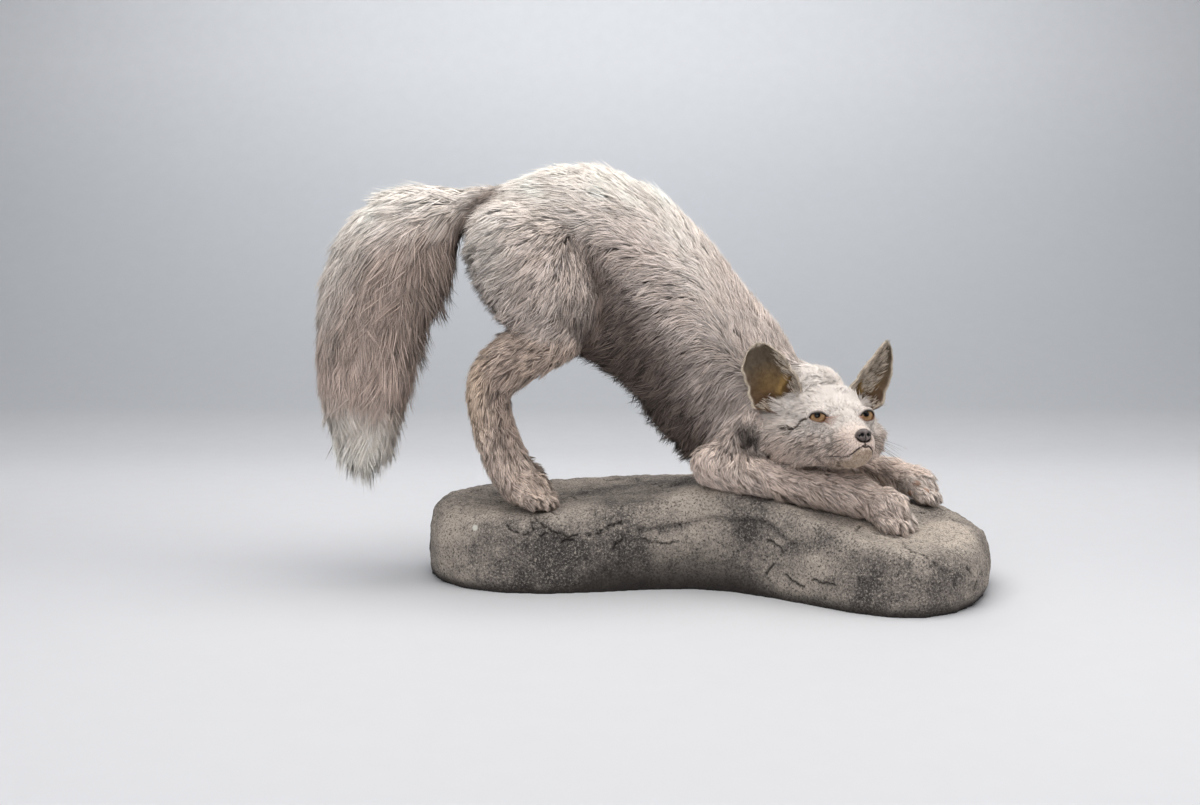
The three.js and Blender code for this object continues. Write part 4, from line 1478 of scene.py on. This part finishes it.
def rounded(over):
    """From 1 down to 0 as a quarter circle, as over goes from 0 to 1."""
    return np.sqrt(np.clip(1 - (np.clip(over, 0, 1)) ** 2, 0, 1))


def make_ear(side, side_name, finish):
    """A cupped leaf with a rolled rim, a fold up its front and a ridge inside it."""
    root, axis, across, facing, length = ear_axes(side)
    rows, columns = EAR_ROWS, EAR_COLUMNS
    t, b = np.meshgrid(np.linspace(EAR_FOOT, 1, rows), np.linspace(-1, 1, columns), indexing="ij")
    t, b = t.ravel(), b.ravel()
    reach = b * ear_half_width(t, b, side) * (1 + np.minimum(0, t))
    reach *= np.where(b > 0, 0.2 + 0.8 * smoothstep(EAR_FOOT, 0.14, t), 1)
    up = np.maximum(t, 0)
    cup = 15 * (1 - 0.72 * up) * (b * b - 0.35) - up * up
    cup += 1.9 * np.abs(b) ** 4 * np.sin(8 * t + 2.1 * np.sign(b)) + 0.8 * np.sin(9 * t + 5 * b) * t
    edge = smoothstep(0.80, 0.95, np.abs(b))
    cup += 1.3 * edge * (1 - up)
    middle = root + axis * (t * length)[:, None] + across * reach[:, None] + facing * cup[:, None]
    close = rounded((np.abs(b) - 0.90) / 0.10)
    close *= rounded((t - 0.955) / 0.045)
    close *= rounded((-0.12 - t) / 0.04)
    half = EAR_THICK / 2 * (1 - 0.35 * up) * (1 + 0.3 * edge) * close
    # a ridge from the ear's foot up and over towards its front edge, and the fold beside it
    off = b - ear_ridge(t)
    ridge = 2.6 * bell(off / 0.16) * smoothstep(-0.1, 0.15, t) * smoothstep(0.58, 0.36, t)
    ridge -= 1.8 * bell((off + 0.30) / 0.14) * smoothstep(-0.1, 0.2, t) * smoothstep(0.5, 0.3, t)
    veins = 0.7 * np.sin(11 * b + 4 * t + 1.5 * np.sin(5 * t)) * smoothstep(0.1, 0.6, t) * (1 - edge)
    inside = middle + facing * (half + (ridge * (1 - edge) + veins) * close)[:, None]
    outside = middle - facing * half[:, None]
    faces = []
    for r in range(rows - 1):
        for c in range(columns - 1):
            a = r * columns + c
            b = a + columns
            faces.append((a, a + 1, b + 1, b))
            faces.append(tuple(len(t) + i for i in (a, b, b + 1, a + 1)))
    ear = new_mesh(f"ear_skin_{side_name}", from_head(np.vstack((inside, outside))), faces, finish)
    edit(ear, weld, bpy.ops.mesh.quads_convert_to_tris, face_out)
    hand_over(ear, "ear_fur", f"ear_{side_name}")
    return ear


EAR_LOW = np.array((0.085, 0.035, 0.011))
EAR_HIGH = np.array((0.105, 0.076, 0.048))
EAR_LIT_AMBER = np.array((0.36, 0.225, 0.075))
EAR_BACK = np.array((0.56, 0.46, 0.40))
EAR_RIM = np.array((0.74, 0.64, 0.52))


def ear_ground(ear, side):
    """The ear as a ground for hair, with each point's place on the leaf."""
    g = Ground(ear)
    root, axis, across, facing, length = ear_axes(side)
    rel = to_head(g.points) - root
    g.t = rel @ axis / length
    g.b = rel @ across / ear_half_width(g.t, rel @ across, side)
    g.inside = smoothstep(-0.1, 0.3, (g.normals @ HEAD_AXES) @ facing)
    way = axis + across * (0.45 * g.b)[:, None]
    g.way = g.along(way @ HEAD_AXES.T)
    # the cup's far walls face each other, so the rim is told by its place
    g.rim = np.maximum(smoothstep(0.86, 0.97, np.abs(g.b)), smoothstep(0.93, 0.985, g.t))
    g.depth = np.full(len(g.t), 1.0)
    g.length = 6.5 - 3.5 * g.rim
    g.half = np.full(len(g.t), 0.36)
    tone = blend(EAR_LOW, EAR_HIGH, smoothstep(-0.05, 0.75, g.t))
    # Painted light: amber where light catches the ridge and the middle of the cup.
    glow = bell((g.b - ear_ridge(g.t)) / 0.2) * smoothstep(-0.05, 0.2, g.t) * smoothstep(0.62, 0.36, g.t)
    cup = smoothstep(0.10, 0.3, g.t) * smoothstep(0.75, 0.35, g.t) * (1 - np.abs(g.b))
    tone = blend(tone, EAR_LIT_AMBER, 0.85 * glow + 0.5 * cup)
    g.tint = blend(blend(EAR_BACK, tone, g.inside), EAR_RIM, g.rim)
    return g


def ear_finish():
    """Thin bare leather, mottled."""
    f = Finish("ear_leather", 0.55, Specular_IOR_Level=0.35)
    mottle = f.noise(160, 4, 0.6, distortion=0.5)
    colour = f.mix(f.span(mottle, 0.3, 0.7, 0.55, 0.0), f.tint(), (0.45, 0.38, 0.32), "MULTIPLY")
    fine = f.span(f.noise(900), 0.35, 0.65, 0.25, 0.0)
    f.set("Base Color", f.mix(fine, colour, (0.5, 0.45, 0.4), "MULTIPLY"))
    f.set("Normal", f.bump(mottle, 0.8, 0.0020))
    return f.material


ear_leather = ear_finish()
for side, side_name in SIDES:
    ear = make_ear(side, side_name, ear_leather)
    leaf = ear_ground(ear, side)
    paint(ear, "coat_tint", leaf.tint)
    back = np.maximum((1 - leaf.inside), 0.8 * leaf.rim) * (leaf.t > -0.08)
    grow_coat(f"coat_ear_{side_name}", leaf, back, 4300, face_hair, "ear_fur", 30 + side, tone=0.16,
              clump=0.3, lift=(0.4, 1.0))
    # long pale hairs over the front edge and the foot of the cup; the left ear's cup is full of them
    _, axis, across, _, _ = ear_axes(side)
    pale = changed(leaf, length=11, half=0.28, depth=2.2, tint=(0.50, 0.42, 0.34),
                   way=leaf.along((axis + 0.7 * across) @ HEAD_AXES.T))
    hairy = leaf.inside * smoothstep(-0.55, -0.9, leaf.b) * smoothstep(0.85, 0.5, leaf.t)
    hairy += 0.5 * leaf.inside * smoothstep(0.12, 0.0, leaf.t)
    if side > 0:
        hairy += 1.2 * leaf.inside * smoothstep(0.10, 0.3, leaf.t) * smoothstep(0.55, 0.1, leaf.b)
    grow_coat(f"coat_ear_{side_name}_inner", pale, hairy * (leaf.t > -0.05), 700 if side < 0 else 2200,
              face_hair, "ear_fur", 40 + side, tone=0.34, clump=0.5, bunch=8, lift=(0.4, 1.2))

# ------------------------------------------------------------------ rock

CRACKS = [
    [(-104, -69, 77), (-95, -75, 69), (-81, -78, 66), (-73, -78, 72), (-75, -74, 80)],
    [(-71, -71, 82), (-63, -78, 77), (-49, -80, 69), (-34, -79, 63), (-25, -77, 65)],
    [(-11, -75, 65), (-2, -73, 66), (8, -69, 72), (20, -65, 76), (24, -64, 77)],
    [(313, -147, 70), (315, -169, 67), (327, -175, 64), (343, -180, 55)],
    [(46, -61, 58), (60, -58, 53), (86, -56, 53)],
    [(86, -54, 74), (98, -60, 66), (104, -64, 55)],
    [(126, -62, 84), (120, -66, 70), (128, -74, 60)],
    [(-150, 60, 96), (-96, 74, 99), (-50, 60, 103), (-8, 78, 104)],
    [(180, 60, 102), (232, 88, 96), (266, 74, 92)],
]
LEDGE = [(48, -58, 71), (64, -56, 72), (86, -54, 74), (108, -55, 80), (126, -62, 84), (147, -72, 83),
         (165, -86, 86), (182, -98, 82), (195, -110, 71), (203, -118, 65)]
# Hollows, stained dark and darkened with painted shade, and proud places, rubbed pale: middle, reach, and
# how strong.
STAINED_SHADED_HOLLOWS = [((-137, -59, 43), 34, 0.55), ((-45, -80, 44), 40, 0.85), ((27, -67, 45), 30, 0.8),
          ((154, -77, 64), 34, 0.95), ((203, -118, 52), 30, 0.7), ((277, -177, 30), 34, 0.95),
          ((350, -182, 30), 30, 0.8), ((-89, -77, 8), 24, 0.5), ((70, 110, 104), 46, 0.5),
          ((362, -33, 83), 30, 0.4), ((-120, 120, 60), 44, 0.7), ((20, 170, 50), 50, 0.7),
          ((190, 176, 40), 52, 0.8), ((330, 110, 45), 44, 0.7), ((-196, 40, 40), 40, 0.6)]
RUBBED = [((-162, -30, 75), 32, 0.8), ((-34, -71, 88), 30, 0.6), ((-71, -79, 22), 26, 0.45),
          ((64, -58, 50), 22, 0.5), ((119, -58, 95), 34, 0.7), ((218, -132, 40), 30, 0.5),
          ((384, -97, 73), 34, 0.7), ((101, -48, 104), 34, 0.5), ((300, -120, 82), 40, 0.6),
          ((-60, 60, 104), 50, 0.4), ((120, 150, 90), 44, 0.5), ((260, 100, 96), 44, 0.5)]


def crack_lines(points, normals):
    """Named cracks, and short ones wandering over the top and the sides."""
    rng = np.random.default_rng(SEED)
    lines = []
    for line in CRACKS:
        fine = curve_through(line, 14 * len(line))
        links = np.array([(i, i + 1) for i in range(len(fine) - 1)])
        lines.append(fine + soften(rng.normal(0, 1.5, fine.shape), links, 2))
    high = np.where((points[:, 2] > 18) & (rng.random(len(points)) < 0.5))[0]
    for start in rng.choice(high, 46, replace=False):
        at, normal = points[start], normals[start]
        ahead = unit(np.cross(normal, unit(rng.normal(0, 1, 3) * (0.5, 0.5, 1.4))))
        line = [at]
        for _ in range(rng.integers(10, 30)):
            way = unit(ahead + np.cross(normal, ahead) * rng.normal(0, 0.75))
            line.append(line[-1] + way * 1.1)
        lines.append(np.array(line))
    return np.vstack(lines)


ROCK_VOXEL = 2.9 * MM
CHALK_SPOT = (-138, -54, 69)
DROP_HOLE = (84, 18, 106)  # a small pit in the top
PROUDEST = 1.6  # the most that a place of the rock rises, in millimetres
FLAT_UNDER = 1.5  # what lies lower than this stays flat


def swells(at):
    """Broad, middling and fine unevenness of the casting."""
    broad = 1.7 * noise.fractal(at * 0.022, 1.0, 2.1, 3)
    middling = 1.3 * noise.fractal(at * 0.085, 0.9, 2.1, 3)
    return broad + middling + 0.35 * noise.noise(at * 0.42)


def rock_relief(points, cracks):
    """At each point: how far it rises, how much paler it is, darker with painted shade in the hollows,
    under the ledge and in the pit, and its distance from a crack.
    """
    rough = np.array([swells(Vector(p)) for p in points.tolist()])
    tone = np.zeros(len(points))
    for places, rise, paler in ((STAINED_SHADED_HOLLOWS, -2.4, -1), (RUBBED, 1.2, 1)):
        for at, reach, strong in places:
            spot = strong * np.exp(-((points - at) ** 2).sum(1) / reach**2)
            rough += rise * spot
            tone += paler * spot
    ledge = curve_through(LEDGE, 90)
    number, away = nearest_of(ledge, points)
    below = ((points - ledge[number]) * (0, -0.7, -0.7)).sum(1)
    rough -= 4.4 * bell(away / 10) * smoothstep(-0.5, 2.0, below)
    rough += 2.0 * bell(away / 7) * smoothstep(0.5, -2.0, below)
    # painted shade in the groove under the ledge
    tone -= 0.6 * bell(away / 5) * smoothstep(-0.5, 2.0, below)
    _, split = nearest_of(cracks, points)
    rough -= 2.2 * bell(split / 1.2)
    hole = bell(how_far(points, DROP_HOLE, (10, 7, 9)))
    # painted shade in the pit
    return rough - 5.0 * hole, tone - 0.8 * hole, split


def make_rock():
    """The rock solid, softened, with cracks, hollows, proud places and a ledge worked into it."""
    rock = own_copy("cast_rock", ["base_rock"])
    modify(rock, "REMESH", mode="VOXEL", voxel_size=ROCK_VOXEL)
    points, tri = arrays(rock)
    bottom = points[:, 2] < FLAT_UNDER
    soft = np.where(bottom[:, None], points, soften(points, edges_of(rock), 22))
    set_points(rock, soft)
    cracks = crack_lines(soft, normals_of(soft, tri))
    refine(rock, cracks, 5.0)
    refine(rock, cracks, 2.6)
    points, tri = arrays(rock)
    normals = unit(soften(normals_of(points, tri), edges_of(rock), 3))
    rough, tone, split = rock_relief(points, cracks)
    rise = smoothstep(1.0, 14.0, points[:, 2])
    points = points + normals * (np.minimum(rough - 0.4, PROUDEST) * rise)[:, None]
    points[:, 2] = np.where(points[:, 2] < FLAT_UNDER, 0.0, points[:, 2])
    set_points(rock, points)
    # what the finish reads: paleness, nearness to a crack, and painted shade along the foot, taller in
    # the hollow middle of the front
    x, y, z = points.T
    hollow = smoothstep(-40, 10, x) * smoothstep(200, 130, x) * (y < 0)
    foot = smoothstep(18 + 44 * hollow, 6 * hollow, z)
    paint(rock, "stone", np.stack((np.clip(0.5 + 0.5 * tone, 0, 1), bell(split / 1.4), foot), 1))
    smooth(rock)
    return rock


def rock_finish():
    """Cast stone: dark to pale by the marks, gritty, with painted shade, near black, in the cracks and
    along the foot.
    """
    f = Finish("cast_stone", 0.9, Specular_IOR_Level=0.25)
    marks = f.marks("stone")
    broad = f.noise(11, 4, 0.6, distortion=0.5)
    tone = f.math("ADD", marks[0], f.math("MULTIPLY", f.math("SUBTRACT", broad, 0.5), 1.5))
    patchy = f.noise(48, 4, 0.65, distortion=0.6)
    tone = f.math("ADD", tone, f.math("MULTIPLY", f.math("SUBTRACT", patchy, 0.5), 1.0))
    base = f.ramp(tone, [(0.08, (0.072, 0.064, 0.060)), (0.34, (0.205, 0.178, 0.158)),
                         (0.60, (0.345, 0.300, 0.260)), (0.90, (0.50, 0.430, 0.365))])
    grit = f.noise(430, 4, 0.85, distortion=0.3)
    base = f.mix(f.span(grit, 0.51, 0.61, 0.0, 0.88), base, (0.032, 0.028, 0.026))
    base = f.mix(f.span(grit, 0.47, 0.37, 0.0, 0.62), base, (0.60, 0.53, 0.45))
    # painted shade along the foot
    base = f.mix(f.math("MULTIPLY", marks[2], 0.94), base, (0.026, 0.022, 0.020))
    # painted shade in the cracks
    base = f.mix(f.math("MULTIPLY", marks[1], 0.88), base, (0.014, 0.012, 0.010))
    chalk = f.add("ShaderNodeVectorMath", {0: f.where, 1: tuple(place(CHALK_SPOT))}, operation="DISTANCE")
    chalky = f.span(chalk.outputs["Value"], 0.0045, 0.0022, 0.0, 0.9)
    f.set("Base Color", f.mix(chalky, base, (0.72, 0.70, 0.62)))
    f.set("Roughness", f.span(grit, 0.3, 0.7, 0.8, 0.98))
    normal = f.bump(f.noise(60, 5, 0.7), 0.7, 0.004)
    normal = f.bump(patchy, 0.4, 0.003, normal)
    f.set("Normal", f.bump(grit, 0.75, 0.0014, normal))
    return f.material


rock = make_rock()
refinish(rock, rock_finish())
hand_over(rock, "rock", "base_rock")

# ------------------------------------------------------------------ eyes


def eye_finish():
    """Glass eye: the marks are painted by the distance round from the pupil's middle, with painted shadow
    of the lid over the iris's upper part.
    """
    f = Finish("glass_eye", 0.2, Specular_IOR_Level=0.0, Coat_Weight=0.3, Coat_Roughness=0.03)
    marks = f.marks("eye_place")
    turn = {0: f.math("MULTIPLY", marks[0], 0.5), 1: marks[1], 2: marks[2]}
    rays = f.noise(17, 3, 0.6, vector=f.add("ShaderNodeCombineXYZ", turn).outputs[0])
    iris = f.ramp(marks[0], [(0.0, (0.10, 0.05, 0.02)), (0.38, (0.27, 0.165, 0.085)),
                             (0.60, (0.43, 0.285, 0.155)), (0.80, (0.24, 0.13, 0.06))])
    iris = f.mix(f.span(rays, 0.35, 0.68, 0.6, 0.0), iris, (0.35, 0.25, 0.18), "MULTIPLY")
    # Painted shadow of the upper lid over the top of the iris.
    painted_lid_shadow = f.math("MULTIPLY", f.span(marks[2], 0.42, 0.95, 0.0, 0.85), f.span(marks[0], 0.12, 0.4))
    iris = f.mix(painted_lid_shadow, iris, (0.045, 0.026, 0.016))
    iris = f.mix(f.span(marks[0], 0.325, 0.285), iris, (0.002, 0.002, 0.002))
    f.set("Base Color", f.mix(f.span(marks[0], 0.80, 0.93), iris, (0.085, 0.045, 0.028)))
    return f.material


CORNEA = 0.45  # how far it rises over the ball


def make_eye(side, side_name, finish):
    """A ball with its pole at the pupil, and a low cornea over the iris."""
    gaze = unit(np.array(GAZE[side]))
    across = unit(np.cross(gaze, (0, 0, 1)))
    over = np.cross(across, gaze)
    rows = columns = 72
    theta = np.linspace(0, math.pi, rows + 1)[1:-1]
    phi = np.linspace(0, 2 * math.pi, columns, endpoint=False)
    ring = np.cos(phi)[:, None] * across + np.sin(phi)[:, None] * over
    radius = EYEBALL + CORNEA * (1 - smoothstep(0.0, 0.75, theta))
    ways = np.sin(theta)[:, None, None] * ring + np.cos(theta)[:, None, None] * gaze
    shell = (ways * radius[:, None, None]).reshape(-1, 3)
    points = np.vstack(((EYEBALL + CORNEA) * gaze[None], shell, -EYEBALL * gaze[None]))
    faces = [tuple(i + 1 for i in f) for f in grid_faces(rows - 1, columns)]
    last = 1 + (rows - 2) * columns
    for c in range(columns):
        d = (c + 1) % columns
        faces += [(0, 1 + d, 1 + c), (len(points) - 1, last + c, last + d)]
    eye = new_mesh(f"glass_eye_{side_name}", from_head(points + eyeball_at(side)), faces, finish)
    edit(eye, face_out)
    marks = np.ones((len(points), 3))
    marks[:, 0] = np.concatenate(([0], np.repeat(theta, columns), [math.pi]))
    marks[1:-1, 1] = np.tile(0.5 + 0.5 * np.cos(phi), rows - 1)
    marks[1:-1, 2] = np.tile(0.5 + 0.5 * np.sin(phi), rows - 1)
    paint(eye, "eye_place", marks)
    hand_over(eye, "eye_glass", f"eye_{side_name}")


glass_eye = eye_finish()
for side, side_name in SIDES:
    make_eye(side, side_name, glass_eye)


def plain(name, colour, roughness, grain=400, deep=0.75, height=0.0003):
    """One colour with a fine grain, deep times as dark at its darkest."""
    f = Finish(name, roughness)
    fine = f.noise(grain, 3, 0.6)
    f.set("Base Color", f.mix(f.span(fine, 0.3, 0.7), colour, tuple(c * deep for c in colour)))
    f.set("Normal", f.bump(fine, 0.4, height))
    return f.material


def settle(points, height):
    """Points of the head's axes laid on the skin, at a height over it."""
    return on_ground(body, from_head(points), height)[0]


lid_skin = plain("lid_edge", (0.022, 0.017, 0.015), 0.42, deep=0.6)
lid_low = plain("lid_lower", (0.20, 0.115, 0.08), 0.45)
lid_pink = plain("lid_corner", (0.42, 0.22, 0.15), 0.4, deep=0.7)
UPPER_RIM, LOWER_RIM = 26, 24  # where along the rim the upper lid ends, and the lower one begins
for side, side_name in SIDES:
    rim = eye_rim(side, 0.95)
    upper, lower = rim[:UPPER_RIM], np.vstack((rim[LOWER_RIM:], rim[:1]))
    radii = 0.5 * np.sin(np.linspace(0.35, math.pi - 0.5, len(upper))) ** 0.6
    lid = tube(f"lid_{side_name}", from_head(upper), radii, lid_skin)
    lash = tube(f"lid_{side_name}_lower", from_head(lower), 0.38, lid_low)
    corner = eyeball_at(side) + unit(np.array((0.84, 0.55 * -side, -0.04))) * (EYEBALL + 0.2)
    bpy.ops.mesh.primitive_uv_sphere_add(segments=20, ring_count=14, radius=1)
    tear = bpy.context.active_object
    tear.name = f"eye_corner_{side_name}"
    shape = np.array([v.co for v in tear.data.vertices]) * (1.9, 1.3, 1.2)
    set_points(tear, from_head(shape + corner))
    smooth(tear)
    refinish(tear, lid_pink)
    for piece in (lid, lash, tear):
        hand_over(piece, "nose_leather")

# ------------------------------------------------------------------ nose, mouth, whiskers

NOSE_AT = np.array((64.8, 0.0, -25.2))
NOSE_SIZE = np.array((7.2, 8.1, 6.9))


def nose_finish():
    """Fine pebbled leather, with painted shade, black and dull, inside the nostrils and along the groove
    under them.
    """
    f = Finish("nose_leather", 0.38, Specular_IOR_Level=0.5)
    cells = f.cells(1100)
    tone = f.mix(f.span(f.noise(220, 3), 0.35, 0.7), (0.150, 0.118, 0.108), (0.072, 0.057, 0.053))
    dark = f.attribute("nose_painted_shade").outputs["Fac"]
    f.set("Base Color", f.mix(dark, tone, (0.004, 0.003, 0.003)))
    f.set("Roughness", f.math("MAXIMUM", f.span(f.noise(300, 2), 0.3, 0.7, 0.32, 0.5), dark))
    f.set("Normal", f.bump(cells, 0.55, 0.0005))
    return f.material


def make_nose():
    """A leather pad with two nostrils, their wings, and a groove under them."""
    bpy.ops.mesh.primitive_ico_sphere_add(subdivisions=6, radius=1)
    nose = bpy.context.active_object
    nose.name = "nose_pad"
    q = np.array([v.co for v in nose.data.vertices])
    x, y, z = q.T
    shape = q.copy()
    shape[:, 0] = np.where(x > 0, np.sign(x) * np.abs(x) ** 0.8, x)
    shape[:, 1] = np.sign(y) * np.abs(y) ** 0.85 * (0.62 + 0.38 * smoothstep(-1.0, 0.0, z))
    shape[:, 1] *= 1 - 0.12 * smoothstep(0.3, 1.0, z)
    shape = shape * NOSE_SIZE
    dark = np.zeros(len(q))
    for side, _ in SIDES:
        nostril = [(0.80, 0.40 * side, 0.16), (0.70, 0.62 * side, 0.06), (0.48, 0.84 * side, -0.14)]
        _, away = nearest_of(curve_through(nostril, 30), q)
        pit = bell(away / 0.19)
        start = bell(how_far(q, (0.84, 0.44 * side, 0.04)) / 0.34)
        shape -= q * (1.8 * pit + 4.2 * start)[:, None]
        wing = bell((away - 0.36) / 0.14) * smoothstep(0.2, 0.6, x)
        shape += q * (0.5 * wing)[:, None]
        # painted shade deep in the nostril
        dark = np.maximum(dark, smoothstep(0.35, 0.75, pit))
        dark = np.maximum(dark, smoothstep(0.22, 0.42, start))
    groove = bell(y / 0.07) * smoothstep(0.25, -0.1, z) * (x > 0)
    shape -= q * (1.3 * groove)[:, None]
    # painted shade along the groove
    dark = np.maximum(dark, 0.7 * groove)
    set_points(nose, from_head(shape + NOSE_AT))
    smooth(nose)
    layer = nose.data.attributes.new("nose_painted_shade", "FLOAT", "POINT")
    layer.data.foreach_set("value", dark.astype(np.float32))
    refinish(nose, nose_finish())
    hand_over(nose, "nose_leather", "nose")


make_nose()

lip_dark = plain("lip_edge", (0.060, 0.036, 0.027), 0.5)
mouth = settle(mouth_line(), 0.5)
fade = np.abs(np.linspace(-1, 1, len(mouth)))
hand_over(tube("mouth_line", mouth, 0.85 - 0.45 * fade, lip_dark), "nose_leather")
cleft = settle(curve_through([(68, 0, -31.5), (69.5, 0, -34), (69.5, 0, -36.4)], 12), 0.05)
hand_over(tube("lip_cleft", cleft, 0.5, lip_dark), "nose_leather")


WHISKER_ROWS, WHISKER_COLUMNS, WHISKER_STEPS = 3, 4, 9


def make_whiskers(finish):
    """Stiff tapered hairs from both sides of the muzzle, joined as one piece."""
    rng = np.random.default_rng(SEED + 50)
    steps = np.linspace(0, 1, WHISKER_STEPS)[:, None]
    droop = np.array((-0.25, 0, -0.35))
    hairs = []
    for side, _ in SIDES:
        for row in range(WHISKER_ROWS):
            for column in range(WHISKER_COLUMNS):
                at = np.array((56 - 5.0 * column + rng.uniform(-1, 1), side * (10.5 + 0.8 * column),
                               -29 - 3.6 * row + rng.uniform(-0.6, 0.6)))
                root = to_head(settle(at[None], -1.0))
                way = np.array((0.15 - 0.22 * column, side * 1.0, -0.25 - 0.22 * row))
                way = unit(way + rng.normal(0, 0.10, 3))
                long = rng.uniform(28, 44) + 3 * column
                line = from_head(root + way * steps * long + droop * steps**2 * long * 0.5)
                taper = np.linspace(0.20, 0.05, WHISKER_STEPS)
                hairs.append(tube("whisker", line, taper, finish, 5))
    hand_over(join("whiskers", hairs), "face_fur")


make_whiskers(plain("whisker_hair", (0.10, 0.075, 0.06), 0.4))

# ------------------------------------------------------------------ claws and pads

claw_finish = plain("claw_horn", (0.34, 0.28, 0.22), 0.35, grain=250)
pad_finish = plain("toe_pad", (0.36, 0.235, 0.175), 0.6, grain=700, deep=0.7, height=0.0005)
CLAW_STEPS = 9
claw_taper = np.linspace(1.5, 0.25, CLAW_STEPS)
for name in FEET:
    claws = []
    for at in toes_of(name):
        tip = at + (TOE_SIZE[0] + 3.5, 0.4 * math.copysign(1, at[1]), -3.5)
        line = [tip - (11, 0, -3.4), tip - (4.5, 0, -2.6), tip - (0, 0, 1.5)]
        line = from_foot(curve_through(line, CLAW_STEPS), name)
        claws.append(tube(f"{name}_claw", line, claw_taper, claw_finish))
    hand_over(join(f"claws_{name}", claws), "leg_fur")

# Leather pads under the toes of the raised left forepaw.
PADS = [(357, -14, 112), (366, -15, 102), (378, -8, 101), (352, -9, 101)]
PAD_SIZE = (5.0, 4.0, 2.6)
pads = []
for at in PADS:
    spot, out, _ = on_ground(body, np.array((at,), float), 0.6)
    facing = Vector(out[0]).to_track_quat("Z", "Y").to_matrix().to_4x4()
    pads.append(ball(spot[0], PAD_SIZE, facing))
pad = join("toe_pads_forepaw_left", pads)
bpy.ops.object.transform_apply(location=True, rotation=True, scale=True)
bpy.ops.object.shade_smooth()
refinish(pad, pad_finish)
hand_over(pad, "leg_fur")
